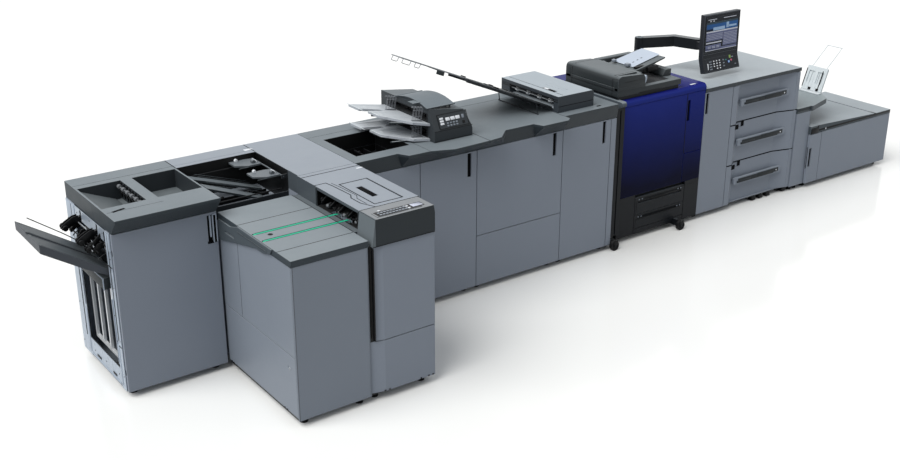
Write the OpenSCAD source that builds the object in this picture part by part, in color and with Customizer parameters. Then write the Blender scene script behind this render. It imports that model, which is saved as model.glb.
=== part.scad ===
// Digital production printer: a row of docked cabinets with a colour print engine
// X runs along the row from the exit tray to the large paper unit, the fronts face -Y, the floor is z = 0

/* [Row] */
// Height of the row of finishing cabinets
row_h = 1041; // [960:1:1120]
// Depth of the row of cabinets, from the door fronts to the back
row_d = 660; // [600:1:760]
// Clear height under the cabinets
skirt_h = 37; // [30:1:50]
// Height of the front trim under the top covers
trim_h = 93; // [80:1:110]
// Thickness of the carcass sheet and its stiffeners
wall = 6; // [4:0.5:9]

/* [Doors] */
// Thickness of a cabinet door
door_t = 22; // [20:1:28]
// Thickness of a door's outer skin
skin_t = 3; // [2:0.5:4]
// Seam between two neighbouring doors
seam = 5; // [5:0.5:7]
// Clearance behind a closed door
door_back = 2; // [2:0.5:4]
// Width of a door's grip slot
grip_w = 28; // [22:1:34]
// Height of a door's grip slot
grip_h = 152; // [120:1:170]
// Depth of a door's grip slot
grip_d = 15; // [10:1:17]
// Radius of a hinge pin
pin_r = 2.5; // [2:0.25:3]
// Radial clearance of a pin in its eye
pin_fit = 0.05; // [0.02:0.01:0.1]

/* [Staple finisher] */
// Width of the staple finisher
fin_w = 578; // [520:1:640]
// Reach of the stacking tray beyond the left end
tray_reach = 330; // [280:1:380]
// Width of the stacking tray, front to back
tray_w = 392; // [340:1:420]
// Depth of the pits in the finisher's top
pit_d = 105; // [80:1:120]

/* [Bridge] */
// Width of the bridge between the finisher and the stitcher
brg_w = 491; // [440:1:540]

/* [Saddle stitcher] */
// Width of the stitcher tower
stc_w = 360; // [330:1:400]
// Reach of the stitcher and its table in front of the row
stc_reach = 795; // [700:1:880]
// Height of the booklet table
table_h = 932; // [880:1:960]
// Width of the booklet table
table_w = 438; // [400:1:480]
// Height of the dark console at the front of the tower
console_h = 146; // [130:1:160]
// Width of a conveyor belt
belt_w = 14; // [10:1:20]
// Thickness of a conveyor belt
belt_t = 2; // [1.5:0.5:3]

/* [Folder and inserter] */
// Width of the folder
fld_w = 870; // [800:1:940]
// Height of the inserter above the row's top
ins_h = 194; // [170:1:220]
// Length of the inserter from front to back
ins_d = 580; // [540:1:600]

/* [Stacker and relay] */
// Width of the stacker
stk_w = 686; // [620:1:740]
// Width of the relay unit
rly_w = 465; // [430:1:500]
// Height of the long sheet unit above the row's top
ban_h = 107; // [95:1:120]
// Tilt of the long sheet tray
ban_tilt = 22.9; // [20:0.1:26]

/* [Print engine] */
// Width of the print engine with its left column
eng_w = 880; // [840:1:930]
// Depth of the print engine
eng_d = 761; // [720:1:800]
// Height of the print engine
eng_h = 1030; // [1000:1:1060]
// Radius of the engine's rounded top edge
eng_edge_r = 30; // [20:1:40]
// Radius of a caster wheel
caster_r = 34; // [28:1:38]

/* [Document feeder and panel] */
// Width of the document feeder
adf_w = 594; // [570:1:620]
// Height of the document feeder over its glass frame
adf_h = 141; // [125:1:155]
// Width of the operation panel
pnl_w = 368; // [340:1:390]
// Height of the operation panel's screen part
pnl_h = 312; // [290:1:330]

/* [Paper feeder] */
// Width of the three-drawer paper feeder
fdr_w = 1027; // [960:1:1080]
// Height of the paper feeder
fdr_h = 986; // [950:1:1010]
// Width of the feeder's narrow left door
fdr_door_w = 284; // [250:1:310]
// Depth of the hollow in a drawer's front
hollow_d = 45; // [30:1:55]
// Length of a drawer handle
handle_w = 520; // [460:1:540]
// Height of a drawer handle
handle_h = 50; // [40:1:60]

/* [Link and large paper unit] */
// Width of the link between the feeder and the large paper unit
link_w = 155; // [140:1:175]
// Height of the link
link_h = 664; // [630:1:690]
// Width of the large paper unit
lcu_w = 995; // [920:1:1060]
// Height of the large paper unit
lcu_h = 500; // [470:1:520]

/* [Hidden] */

// Overrun of every cut, and the clearance between pieces that lie on each other
cut = 1;
rest_gap = 0.3;
slide_gap = 1.5;

// Where each unit starts along the row
x_brg = fin_w;
x_stc = x_brg + brg_w;
x_fld = x_stc + stc_w;
x_stk = x_fld + fld_w;
x_rly = x_stk + stk_w;
x_eng = x_rly + rly_w;
x_fdr = x_eng + eng_w;
x_lnk = x_fdr + fdr_w;
x_lcu = x_lnk + link_w;
x_end = x_lcu + lcu_w;
row_mid_x = (x_end - tray_reach) / 2;

// Levels and planes that several units share
door_top = row_h - trim_h;
face_y = door_t + door_back;
door_rise = 3;
door_drop = 4;
door_z0 = skirt_h + door_rise;
door_z1 = door_top - door_drop;
bay_d = 140;

// Hinge of a door: axis place in the leaf, knuckle and neck
hinge_in = 6;
hinge_y = 8;
lug_r = 4.5;
lug_neck = 3;
lug_h = 30;
lug_gap = 0.5;
lug_share = [0.12, 0.88];

// Colours
c_light = [0.56, 0.59, 0.63];
c_top = [0.45, 0.48, 0.50];
c_dark = [0.20, 0.22, 0.24];
c_black = [0.06, 0.06, 0.07];
c_steel = [0.72, 0.75, 0.78];
c_blue = [0.07, 0.09, 0.38];
c_green = [0.20, 0.68, 0.55];
c_white = [0.90, 0.92, 0.94];

// A box from its low corner to its high corner
module slab(lo, hi) translate(lo) cube(hi - lo);
// Profiles drawn in YZ, XZ or XY and run along the third axis
module run_x(x0, x1) translate([x0, 0, 0]) rotate([90, 0, 90]) linear_extrude(x1 - x0) children();
module run_y(y0, y1) translate([0, y1, 0]) rotate([90, 0, 0]) linear_extrude(y1 - y0) children();
module run_z(z0, z1) translate([0, 0, z0]) linear_extrude(z1 - z0) children();
// Round bars along each axis
module bar_x(p, r, l) translate(p) rotate([0, 90, 0]) cylinder(r = r, h = l, $fn = 48);
module bar_y(p, r, l) translate(p) rotate([-90, 0, 0]) cylinder(r = r, h = l, $fn = 48);
module bar_z(p, r, l) translate(p) cylinder(r = r, h = l, $fn = 48);
// A bar between two points
module strut(a, b, r) {
  d = b - a;
  translate(a) rotate([0, acos(d.z / norm(d)), atan2(d.y, d.x)]) cylinder(r = r, h = norm(d), $fn = 24);
}
// A flat rectangle with round corners, from the low corner to the high corner
module round_rect(lo, hi, r) {
  translate([lo.x + r, lo.y]) square([hi.x - lo.x - 2 * r, hi.y - lo.y]);
  translate([lo.x, lo.y + r]) square([hi.x - lo.x, hi.y - lo.y - 2 * r]);
  for (x = [lo.x + r, hi.x - r], y = [lo.y + r, hi.y - r]) translate([x, y]) circle(r = r, $fn = 48);
}
// A narrow groove along straight legs in a flat top
groove_w = 3;
groove_d = 2;
module top_groove(points, z) {
  for (i = [0 : len(points) - 2]) {
    leg = points[i + 1] - points[i];
    translate([points[i].x, points[i].y, z - groove_d]) rotate(atan2(leg.y, leg.x))
      translate([0, -groove_w / 2, 0]) cube([norm(leg), groove_w, groove_d + cut]);
  }
}
// A sheet carcass: a closed hollow behind a bay that is open to the front
module carcass(lo, hi, bay_lo, bay_hi, depth) {
  difference() {
    slab(lo, hi);
    slab([lo.x + wall, lo.y + depth + wall, lo.z + wall], [hi.x - wall, hi.y - wall, hi.z - wall]);
    slab([bay_lo.x, lo.y - cut, bay_lo.y], [bay_hi.x, lo.y + depth, bay_hi.y]);
  }
}

// Jam levers and knobs on the panel at the back of a bay
knob_r = 16;
knob_l = 22;
lever_w = 70;
lever_t = 12;
knob_shares = [[0.3, 0.72], [0.68, 0.40]];
lever_shares = [[0.62, 0.78], [0.28, 0.3]];
module bay_fittings(x0, x1, y, z0, z1) {
  w = x1 - x0;
  h = z1 - z0;
  for (s = knob_shares) {
    p = [x0 + s.x * w, y, z0 + s.y * h];
    bar_y(p - [0, knob_l, 0], knob_r, knob_l);
  }
  for (s = lever_shares) {
    p = [x0 + s.x * w, y, z0 + s.y * h];
    slab(p - [lever_w / 2, knob_l, lever_t], p + [lever_w / 2, 0, lever_t]);
  }
}

// Height of each hinge of a leaf
function lug_z(z0, z1) = [for (s = lug_share) z0 + s * (z1 - z0) - lug_h / 2];
function hinge_x(x0, x1, side) = side < 0 ? x0 + hinge_in : x1 - hinge_in;

// The fixed knuckles and pins that a leaf turns on
module door_lugs(x0, x1, y0, z0, z1, side) {
  ax = hinge_x(x0, x1, side);
  for (z = lug_z(z0, z1)) {
    bar_z([ax, y0 + hinge_y, z], lug_r, lug_h);
    bar_z([ax, y0 + hinge_y, z - lug_h / 2], pin_r, 2 * lug_h);
    slab([ax - lug_neck, y0 + hinge_y, z], [ax + lug_neck, y0 + face_y, z + lug_h]);
  }
}
// Small hinges: fixed eyes with a pin, and a barrel between them that turns with its cover
// x_axis says whether the axis lies along X or along Y
eye_w = 8;
barrel_w = 30;
barrel_r = 5;
eye_ends = [-barrel_w / 2 - eye_w - rest_gap, barrel_w / 2 + rest_gap];
module bar_on(p, x_axis, at, r, l) {
  if (x_axis) bar_x(p + [at, 0, 0], r, l);
  else bar_y(p + [0, at, 0], r, l);
}
module hinge_eyes(p, x_axis) {
  bar_on(p, x_axis, eye_ends[0], pin_r, barrel_w + 2 * (eye_w + rest_gap));
  for (e = eye_ends) bar_on(p, x_axis, e, barrel_r - cut, eye_w);
}
module hinge_barrel(p, x_axis) bar_on(p, x_axis, -barrel_w / 2, barrel_r, barrel_w);
module hinge_bore(p, x_axis) bar_on(p, x_axis, -barrel_w, pin_r + pin_fit, 2 * barrel_w);
// The cuts in a leaf for the knuckles and pins
module leaf_cuts(x0, x1, y0, z0, z1, side) {
  ax = hinge_x(x0, x1, side);
  reach = lug_r + lug_gap;
  for (z = lug_z(z0, z1)) {
    slab([side < 0 ? x0 - cut : ax - reach, y0 + hinge_y - reach, z - lug_gap],
         [side < 0 ? ax + reach : x1 + cut, y0 + door_t + cut, z + lug_h + lug_gap]);
    bar_z([ax, y0 + hinge_y, z - lug_h / 2 - cut], pin_r + pin_fit, 2 * (lug_h + cut));
  }
}
// The blocks in a leaf that hold its hinge eyes
module leaf_blocks(x0, x1, y0, z0, z1, side) {
  w = 3 * hinge_in;
  for (z = lug_z(z0, z1))
    slab([side < 0 ? x0 : x1 - w, y0, z - lug_h], [side < 0 ? x0 + w : x1, y0 + door_t, z + 2 * lug_h]);
}
// A cabinet door: a pan with a returned rim, a grip pocket and hinge eyes
// side is -1 with the hinge on the left and 1 on the right; grip is the slot's centre in x and top in z
module door_leaf(x0, x1, y0, z0, z1, side, grip) {
  rim = 2 * skin_t;
  difference() {
    union() {
      difference() {
        slab([x0, y0, z0], [x1, y0 + door_t, z1]);
        slab([x0 + rim, y0 + skin_t, z0 + rim], [x1 - rim, y0 + door_t + cut, z1 - rim]);
      }
      leaf_blocks(x0, x1, y0, z0, z1, side);
      if (grip != undef)
        slab([grip.x - grip_w / 2 - skin_t, y0, grip.y - grip_h - skin_t],
             [grip.x + grip_w / 2 + skin_t, y0 + grip_d + skin_t, grip.y + skin_t]);
    }
    leaf_cuts(x0, x1, y0, z0, z1, side);
    if (grip != undef)
      slab([grip.x - grip_w / 2, y0 - cut, grip.y - grip_h], [grip.x + grip_w / 2, y0 + grip_d, grip.y]);
  }
}

// Front lip of a top cover: shares are [of the width, of the overhang], flush with the doors below
lip_back = 60;
lip_flat = 14;
module wave_lip(x, w, shares) {
  x0 = x + seam / 2;
  function ring(s) = let (p = x0 + s.x * (w - seam), o = s.y * lip_reach)
    [[p, 0, door_top], [p, -o, row_h - lip_flat], [p, -o, row_h], [p, lip_back, row_h],
     [p, lip_back, door_top]];
  n = len(shares);
  k = 5;
  polyhedron(points = [for (s = shares) each ring(s)],
    faces = concat([[for (j = [k - 1 : -1 : 0]) j]], [[for (j = [0 : k - 1]) (n - 1) * k + j]],
      [for (i = [0 : n - 2], j = [0 : k - 1])
        each [[i * k + j, i * k + (j + 1) % k, (i + 1) * k + j],
              [i * k + (j + 1) % k, (i + 1) * k + (j + 1) % k, (i + 1) * k + j]]]));
}

// Places given as shares of the span from a low corner to a high corner
function spot(lo, hi, share) = [for (i = [0 : len(share) - 1]) lo[i] + share[i] * (hi[i] - lo[i])];
function span(from, length, shares) = [for (s = shares) from + s * length];
function along(from, steps) = [for (d = steps) from + d];
function spots(lo, hi, shares) = [for (s = shares) spot(lo, hi, s)];

// Staple finisher: lift bay at the left end, two pits in a tub under the top
lift_y_shares = [0.124, 0.797];
lift_y = row_d * lift_y_shares;
lift_d = 70;
lift_z0 = 150;
pit_y_shares = [0.2, 0.745];
pit_x_shares = [[0.024, 0.436], [0.548, 0.979]];
pit_y = span(0, row_d, pit_y_shares);
pit_left = span(0, fin_w, pit_x_shares[0]);
pit_right = span(0, fin_w, pit_x_shares[1]);
pit_floor = row_h - pit_d;
tub_in = 8;
tub_z = pit_floor - wall;
module finisher_cabinet() color(c_light) difference() {
  union() {
    carcass([0, face_y, skirt_h], [fin_w, row_d, door_top], [lift_d + wall, door_z0 + wall],
            [fin_w - wall, tub_z - wall], bay_d);
    door_lugs(seam / 2, fin_w - seam / 2, 0, door_z0, door_z1, -1);
    bay_fittings(lift_d + wall, fin_w - wall, face_y + bay_d, door_z0, tub_z);
  }
  slab([-cut, lift_y[0], lift_z0], [lift_d, lift_y[1], door_top + cut]);
  slab([tub_in - rest_gap, face_y + tub_in, tub_z - rest_gap],
       [fin_w - tub_in + rest_gap, row_d - tub_in, door_top + cut]);
}

lip_reach = 137;
fin_lip_share = 0.51;
seam_back_share = 0.82;
wedge_t = 12;
module finisher_top_cover() color(c_top) {
  x = [seam / 2, fin_w - seam / 2];
  y = [face_y + tub_in + rest_gap, row_d - tub_in - rest_gap];
  difference() {
    union() {
      wave_lip(0, fin_w, [[0, fin_lip_share], [1, fin_lip_share]]);
      slab([x[0], lip_back, door_top], [x[1], row_d, row_h]);
      slab([tub_in, y[0], tub_z], [fin_w - tub_in, y[1], door_top + cut]);
    }
    for (p = [pit_left, pit_right]) slab([p[0], pit_y[0], pit_floor], [p[1], pit_y[1], row_h + cut]);
    slab([-cut, lift_y[0] - wall, tub_z - cut], [lift_d + wall, lift_y[1] + wall, door_top - rest_gap]);
    top_groove([[x[0], seam_back_share * row_d], [x[1], seam_back_share * row_d]], row_h);
    top_groove([[pit_left[0], lip_back], [pit_right[0], lip_back]], row_h);
  }
  run_y(pit_y[0] + slide_gap, pit_y[1] - slide_gap)
    polygon([[pit_left[0], pit_floor], [pit_left[1] - 3 * wedge_t, pit_floor],
             [pit_left[1] - 3 * wedge_t, pit_floor + wall], [pit_left[0], row_h - wedge_t]]);
}

// Small rollers on a shaft along Y, as in the exits of the finishing units
roll_r = 12;
roll_w = 22;
roll_shaft_r = 4;
module roller_shaft(p, length, count, r, w) {
  bar_y(p, roll_shaft_r, length);
  for (i = [0 : count - 1]) bar_y(p + [0, (i + 0.5) * length / count - w / 2, 0], r, w);
}
module pit_exit_rollers() color(c_white)
  roller_shaft([pit_left[1] - roll_r - wall, pit_y[0] + rest_gap, row_h - 2 * roll_r],
               pit_y[1] - pit_y[0] - 2 * rest_gap, 6, roll_r, roll_w);

grip_top = 14;
fin_grip_x = 535;
module finisher_door() color(c_light)
  door_leaf(seam / 2, fin_w - seam / 2, 0, door_z0, door_z1, -1, [fin_grip_x, door_z1 - grip_top]);

// Screwed end plates and the bright rails of the tray's lift
plate_t = 3;
rail_t = 16;
rail_x = 32;
rail_count = 5;
lift_plate_z = 880;
foot_plate_drop = 90;
arm_w = 18;
arm_y_shares = [0.24, 0.78];
arm_y = [for (s = arm_y_shares) lift_y[0] + s * (lift_y[1] - lift_y[0])];
module tray_lift_frame() color(c_steel) {
  top = door_top - plate_t;
  for (y = [[face_y, lift_y[0]], [lift_y[1], row_d - plate_t]])
    slab([-plate_t, y[0], skirt_h], [0, y[1], top]);
  slab([-plate_t, lift_y[0], lift_z0 - foot_plate_drop], [0, lift_y[1], lift_z0]);
  difference() {
    slab([-plate_t, lift_y[0], lift_plate_z], [0, lift_y[1], top]);
    for (y = arm_y) slab([-plate_t - cut, y - slide_gap, lift_plate_z - cut],
                         [cut, y + arm_w + slide_gap, top - plate_t]);
  }
  pitch = (lift_y[1] - lift_y[0] - rail_t) / (rail_count - 1);
  rail_top = lift_plate_z - lift_d;
  for (i = [0 : rail_count - 1]) let (y = lift_y[0] + i * pitch)
    slab([rail_x, y, lift_z0], [rail_x + rail_t, y + rail_t, rail_top]);
  for (z = [lift_z0, rail_top - rail_t])
    slab([rail_x, lift_y[0], z], [rail_x + rail_t, lift_y[1], z + rail_t]);
}

tray_in_y = 12.16;
tray_y0 = lift_y[0] + tray_in_y;
tray_root_z = [672, 705];
tray_tip_z = [894, 942];
tray_belly_share = [0.33, 0.35];
tray_groove_w = 34;
tray_groove_d = 9;
module stack_tray() color(c_dark) {
  root_x = rail_x - 2 * rest_gap;
  fall = (tray_tip_z[1] - tray_root_z[1]) / (tray_reach + root_x);
  mid_y = tray_y0 + tray_w / 2;
  groove_x = root_x - rail_t;
  difference() {
    run_y(tray_y0, tray_y0 + tray_w)
      polygon([[root_x, tray_root_z[0]], [root_x, tray_root_z[1]], [-tray_reach, tray_tip_z[1]],
               [-tray_reach, tray_tip_z[0]],
               spot([0, tray_root_z[0]], [-tray_reach, tray_tip_z[0]], tray_belly_share)]);
    run_y(mid_y - tray_groove_w / 2, mid_y + tray_groove_w / 2)
      polygon([[groove_x, tray_root_z[1] + rail_t * fall - tray_groove_d], [groove_x, row_h],
               [-tray_reach - cut, row_h], [-tray_reach - cut, tray_tip_z[1] - tray_groove_d]]);
  }
  difference() {
    slab([rail_t / 2, tray_y0 + rail_t, tray_root_z[0] - rail_t],
         [root_x, tray_y0 + tray_w - rail_t, tray_root_z[0]]);
    slab([rail_t, tray_y0 + 2 * rail_t, tray_root_z[0] - rail_t - cut],
         [root_x + cut, tray_y0 + tray_w - 2 * rail_t, tray_root_z[0] - wall]);
  }
}

arm_pivot = [14, 908];
arm_tip = [-96, 868];
arm_roll_r = 9;
module hold_down_arm() color(c_black) {
  bar_y([arm_pivot.x, lift_y[0] + rest_gap, arm_pivot.y], roll_shaft_r,
        lift_y[1] - lift_y[0] - 2 * rest_gap);
  for (y = arm_y) {
    run_y(y, y + arm_w)
      polygon([arm_pivot + [0, roll_r], arm_pivot - [0, roll_r], arm_tip - [roll_r, arm_roll_r],
               arm_tip + [-roll_r, arm_roll_r]]);
    roller_shaft([arm_tip.x, y - arm_w, arm_tip.y], 3 * arm_w, 1, roll_shaft_r, arm_w);
    for (s = [-arm_w, arm_w]) bar_y([arm_tip.x, y + s, arm_tip.y], arm_roll_r, arm_w);
  }
}

// Bridge over the sub trays between the finisher and the stitcher
brg_floor = 846;
brg_pit_in = [112, 160];
brg_pit_y = [brg_pit_in[0], row_d - brg_pit_in[1]];
brg_low_z = table_h - lip_flat;
strip_t = 12;
strip_drop = 17;
strip_y_shares = [[0.303, 0.439], [0.576, 0.682]];
strip_x_shares = [[0.09, 0.83], [0.077, 0.937]];
strip_top_share = 0.8;
module bridge_cabinet() {
  in_y = brg_pit_y[0] + wall;
  color(c_light) difference() {
    slab([x_brg, brg_pit_y[0], skirt_h], [x_stc, row_d, row_h]);
    slab([x_brg + wall, in_y, skirt_h + wall], [x_stc - wall, row_d - wall, brg_floor - wall]);
    slab([x_brg - cut, in_y, brg_floor], [x_stc + cut, brg_pit_y[1], row_h + cut]);
    slab([x_brg - cut, brg_pit_y[0] - cut, brg_low_z], [x_stc + cut, brg_pit_y[1], row_h + cut]);
    slab([x_brg + wall, brg_pit_y[1] + wall, brg_floor], [x_stc - wall, row_d - wall, row_h - wall]);
    top_groove([[x_brg, seam_back_share * row_d], [x_stc, seam_back_share * row_d]], row_h);
  }
  color(c_top) for (i = [0, 1]) {
    x = [for (s = strip_x_shares[i]) x_brg + s * brg_w];
    z0 = brg_floor + strip_top_share * (row_h - brg_floor);
    run_y(strip_y_shares[i][0] * row_d, strip_y_shares[i][1] * row_d)
      polygon([[x[0], z0], [x[1], brg_floor + strip_t], [x[1], brg_floor], [x[0] + strip_t, z0 - strip_drop],
               [x[0] + strip_t, brg_floor], [x[0], brg_floor]]);
  }
  color(c_dark) difference() {
    slab([x_stc - guide_in - roll_r, in_y, guide_z - roll_r], [x_stc, in_y + wall, guide_z + roll_r]);
    bar_y([x_stc - guide_in, in_y - cut, guide_z], roll_shaft_r + pin_fit, wall + 2 * cut);
  }
}
guide_in = 24;
guide_z = 1006;
guide_t = 10;
guide_len = 150;
guide_y_shares = [[0.229, 0.408], [0.574, 0.752]];
guide_plan_shares = [[0, 0.9], [0, 0], [0.55, 0], [1, 0.35], [1, 1], [0.3, 1]];
module bridge_guide_arms() color(c_steel) {
  x1 = x_stc - guide_in;
  bar_y([x1, brg_pit_y[0] + wall, guide_z], roll_shaft_r, brg_pit_y[1] - brg_pit_y[0] - wall - rest_gap);
  for (s = guide_y_shares) {
    y = row_d * s;
    run_z(guide_z - guide_t / 2, guide_z + guide_t / 2)
      polygon(spots([x1, y[0]], [x1 - guide_len, y[1]], guide_plan_shares));
    bar_y([x1 - guide_len / 4, y[0] + roll_w, guide_z + roll_r], roll_r, roll_w);
  }
}

// Saddle stitcher: a tower before the row on top of its own rear body, with a table on its left
tbl_gap = 13;
tbl_inset = 9;
tbl_x0 = x_brg + tbl_gap;
tbl_front = -stc_reach + tbl_inset;
twr_x0 = tbl_x0 + table_w;
twr_front = -stc_reach + face_y;
twr_x1 = x_fld - seam / 2;
head_over = 4;
head_x0 = x_stc - head_over;
console_back = 650;
console_z = row_h - console_h;
low_panel_z = 353;
strip_w = 79;
strip_back = door_t;
open_y = [-638, -217];
open_top = 17;
open_d = 120;
jam_in = [116, 281];
jam_x = along(x_stc, jam_in);
jam_y = [-606, -262];
lid_t = 8;
belt_y = [-485, -379];
belt_r = 15;
belt_in = [34, 22];
belt_x = [x_brg + belt_in[0], x_stc + belt_in[1]];
belt_play = 2;
slot_w = belt_w + 2 * belt_play;
channel_y = [belt_y[0] - 3 * belt_w, belt_y[1] + 3 * belt_w];
belt_bed = table_h - 2 * belt_r - belt_t;
zigzag_shares = [[0, 0.30], [0.19, 0.30], [0.21, 0.40], [0.23, 0.66], [0.17, 0.72], [0.17, 0.86], [0.27, 1]];
feed_roll_y_shares = [0.23, 0.62];
module stitcher_cabinet() color(c_light) {
  difference() {
    union() {
      difference() {
        slab([twr_x0, twr_front, skirt_h], [x_fld, 0, console_z]);
        slab([twr_x0 + wall, twr_front + bay_d + wall, skirt_h + wall],
             [x_fld - wall, -wall, console_z - wall]);
        slab([twr_x0 + strip_w, twr_front - cut, low_panel_z + seam + wall],
             [x_fld - wall, twr_front + bay_d, console_z - wall]);
      }
      slab([twr_x0, -console_back, min(console_z, table_h) - wall], [x_fld, 0, table_h]);
      slab([head_x0, -console_back, table_h], [x_fld, 0, row_h]);
      slab([x_stc, 0, skirt_h], [x_fld, row_d, row_h]);
      door_lugs(twr_x0, twr_x1, -stc_reach, low_panel_z + seam, console_z - seam, 1);
      bay_fittings(twr_x0 + strip_w, x_fld - wall, twr_front + bay_d, low_panel_z, console_z);
    }
    slab([x_stc + wall, wall, skirt_h + wall], [x_fld - wall, row_d - wall, row_h - wall]);
    slab([head_x0 - cut, open_y[0], table_h], [head_x0 + open_d, open_y[1], row_h - open_top]);
    slab([head_x0 + open_d + wall, -console_back + wall, console_z + wall],
         [x_fld - wall, -wall, row_h - 3 * lid_t]);
    slab([jam_x[0] - slide_gap, jam_y[0] - slide_gap, row_h - lid_t - rest_gap],
         [jam_x[1] + slide_gap, jam_y[1] + slide_gap, row_h + cut]);
    slab([jam_x[0] + 2 * lid_t, jam_y[0] + 2 * lid_t, row_h - 3 * lid_t - cut],
         [jam_x[1] - 2 * lid_t, jam_y[1] - 2 * lid_t, row_h]);
    for (y = belt_y) slab([twr_x0 - cut, y - slot_w / 2, belt_bed],
                          [belt_x[1] + belt_r + belt_t, y + slot_w / 2, table_h + cut]);
    slab([belt_x[1] - belt_r, channel_y[0], belt_bed], [belt_x[1] + belt_r, channel_y[1], table_h + cut]);
    top_groove([[head_x0, -tub_in], [x_fld, -tub_in]], row_h);
    top_groove(spots([head_x0, 0], [x_fld, -console_back], zigzag_shares), row_h);
  }
  run_z(skirt_h + lip_flat, low_panel_z)
    polygon([[twr_x0, twr_front], [twr_x0, -stc_reach + strip_back], [twr_x0 + strip_w, -stc_reach],
             [twr_x1, -stc_reach], [twr_x1, twr_front]]);
  for (s = feed_roll_y_shares) {
    l = 5 * roll_w;
    p = [head_x0 + 3 * roll_r, open_y[0] + s * (open_y[1] - open_y[0]), table_h + roll_r + wall];
    roller_shaft(p, l, 2, roll_r, roll_w);
    for (y = [0, l - wall]) slab(p + [-roll_r, y, -roll_r - wall], p + [roll_r, y + wall, 0]);
  }
}

jam_slot = [38, 168];
jam_slot_share = [0.38, 0.51];
jam_cup_d = 20;
module stitcher_jam_cover() color(c_top) {
  mid = spot([jam_x[0], jam_y[0]], [jam_x[1], jam_y[1]], jam_slot_share);
  lo = mid - jam_slot / 2;
  hi = mid + jam_slot / 2;
  z = row_h - lid_t;
  difference() {
    union() {
      run_y(jam_y[0], jam_y[1]) {
        translate([jam_x[0], z]) square([jam_x[1] - jam_x[0] - lid_t / 2, lid_t]);
        translate([jam_x[1] - lid_t / 2, z + lid_t / 2]) circle(r = lid_t / 2, $fn = 48);
      }
      slab([lo.x - plate_t, lo.y - plate_t, row_h - jam_cup_d], [hi.x + plate_t, hi.y + plate_t, z + cut]);
    }
    slab([lo.x, lo.y, row_h - jam_cup_d + plate_t], [hi.x, hi.y, row_h + cut]);
  }
}

key_t = 2;
bevel_w = 21;
keypad_shares = [[0.13, 0.66], [0.69, 0.88]];
keypad_y_shares = [0.13, 0.56];
module stitcher_console() color(c_dark) {
  y = [-stc_reach - wall, -console_back - rest_gap];
  x = [head_x0 - bevel_w, twr_x1];
  difference() {
    run_y(y[0], y[1]) polygon([[x[0], console_z], [x[1], console_z], [x[1], row_h - 3 * lip_flat],
                               [x[1] - lip_flat / 2, row_h], [head_x0, row_h]]);
    slab([x_stc + wall, y[0] + wall, console_z + wall], [x[1] - lip_flat, y[1] - wall, row_h - wall]);
  }
  for (s = keypad_shares)
    slab([x[0] + s[0] * stc_w, y[0] + keypad_y_shares[0] * console_h, row_h],
         [x[0] + s[1] * stc_w, y[0] + keypad_y_shares[1] * console_h, row_h + key_t]);
}

slit_w = 28;
module stitcher_door() color(c_light) {
  z0 = low_panel_z + seam;
  z1 = console_z - seam;
  y0 = -stc_reach;
  slit_x = twr_x0 + slit_w;
  difference() {
    run_z(z0, z1)
      polygon([[slit_x, y0 + door_t], [slit_x, y0 + strip_back * (1 - slit_w / strip_w)],
               [twr_x0 + strip_w, y0],
               [twr_x1, y0], [twr_x1, y0 + door_t]]);
    difference() {
      slab([twr_x0 + strip_w, y0 + skin_t, z0 + 2 * skin_t],
           [twr_x1 - 2 * skin_t, y0 + door_t + cut, z1 - 2 * skin_t]);
      leaf_blocks(twr_x0, twr_x1, y0, z0, z1, 1);
    }
    leaf_cuts(twr_x0, twr_x1, y0, z0, z1, 1);
  }
}

// Booklet table beside the tower, with two conveyor belts in its top
tbl_back = 12;
tbl_top_t = 35;
tbl_lip = 2;
tbl_mid_z = 400;
tbl_seam_y = -201;
tbl_corner_w = 10;
lock_r = 7;
lock_share = [0.1, 0.78];
module table_cabinet() color(c_light) {
  top = table_h - tbl_top_t;
  in_x = tbl_x0 + wall;
  in_y = tbl_front + wall;
  difference() {
    slab([in_x, in_y, skirt_h], [twr_x0, tbl_back, top]);
    slab([in_x + wall, in_y + wall, skirt_h + wall], [twr_x0 - wall, tbl_back - wall, top - wall]);
  }
  slab([tbl_x0, tbl_front, skirt_h + wall], [twr_x0 - tbl_corner_w, in_y, top]);
  slab([tbl_x0, in_y + seam / 2, tbl_mid_z], [in_x, tbl_seam_y - seam / 2, top]);
  slab([tbl_x0, tbl_seam_y + seam / 2, tbl_mid_z], [in_x, tbl_back, top]);
  lock = spot([in_y, skirt_h], [tbl_back, tbl_mid_z], lock_share);
  difference() {
    slab([tbl_x0, in_y + seam / 2, skirt_h + 3 * wall], [in_x, tbl_back, tbl_mid_z - seam]);
    bar_x([tbl_x0 - cut, lock.x, lock.y], lock_r, cut + plate_t);
  }
}
sensor_r = 14;
sensor_shares = [0.19, 0.54];
tbl_seam_shares = [0.277, 0.82];
module table_top() color(c_top) {
  x0 = tbl_x0 - tbl_lip;
  z0 = table_h - tbl_top_t;
  y0 = tbl_front - tbl_lip;
  difference() {
    slab([x0, y0, z0], [twr_x0, tbl_back, table_h]);
    for (y = belt_y) slab([belt_x[0] - belt_r - belt_t, y - slot_w / 2, belt_bed],
                          [twr_x0 + cut, y + slot_w / 2, table_h + cut]);
    slab([belt_x[0] - belt_r, channel_y[0], belt_bed], [belt_x[0] + belt_r, channel_y[1], table_h - plate_t]);
    for (s = tbl_seam_shares) top_groove([[x0, s * y0], [twr_x0, s * y0]], table_h);
    bar_z([x0 + sensor_shares[0] * table_w, sensor_shares[1] * y0, table_h - lid_t], sensor_r, 2 * lid_t);
  }
  for (y = belt_y) bar_y([belt_x[0], y - belt_w / 2, table_h - belt_r], belt_r - belt_t - rest_gap, belt_w);
  bar_y([belt_x[0], channel_y[0], table_h - belt_r], roll_shaft_r, channel_y[1] - channel_y[0]);
}
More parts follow.
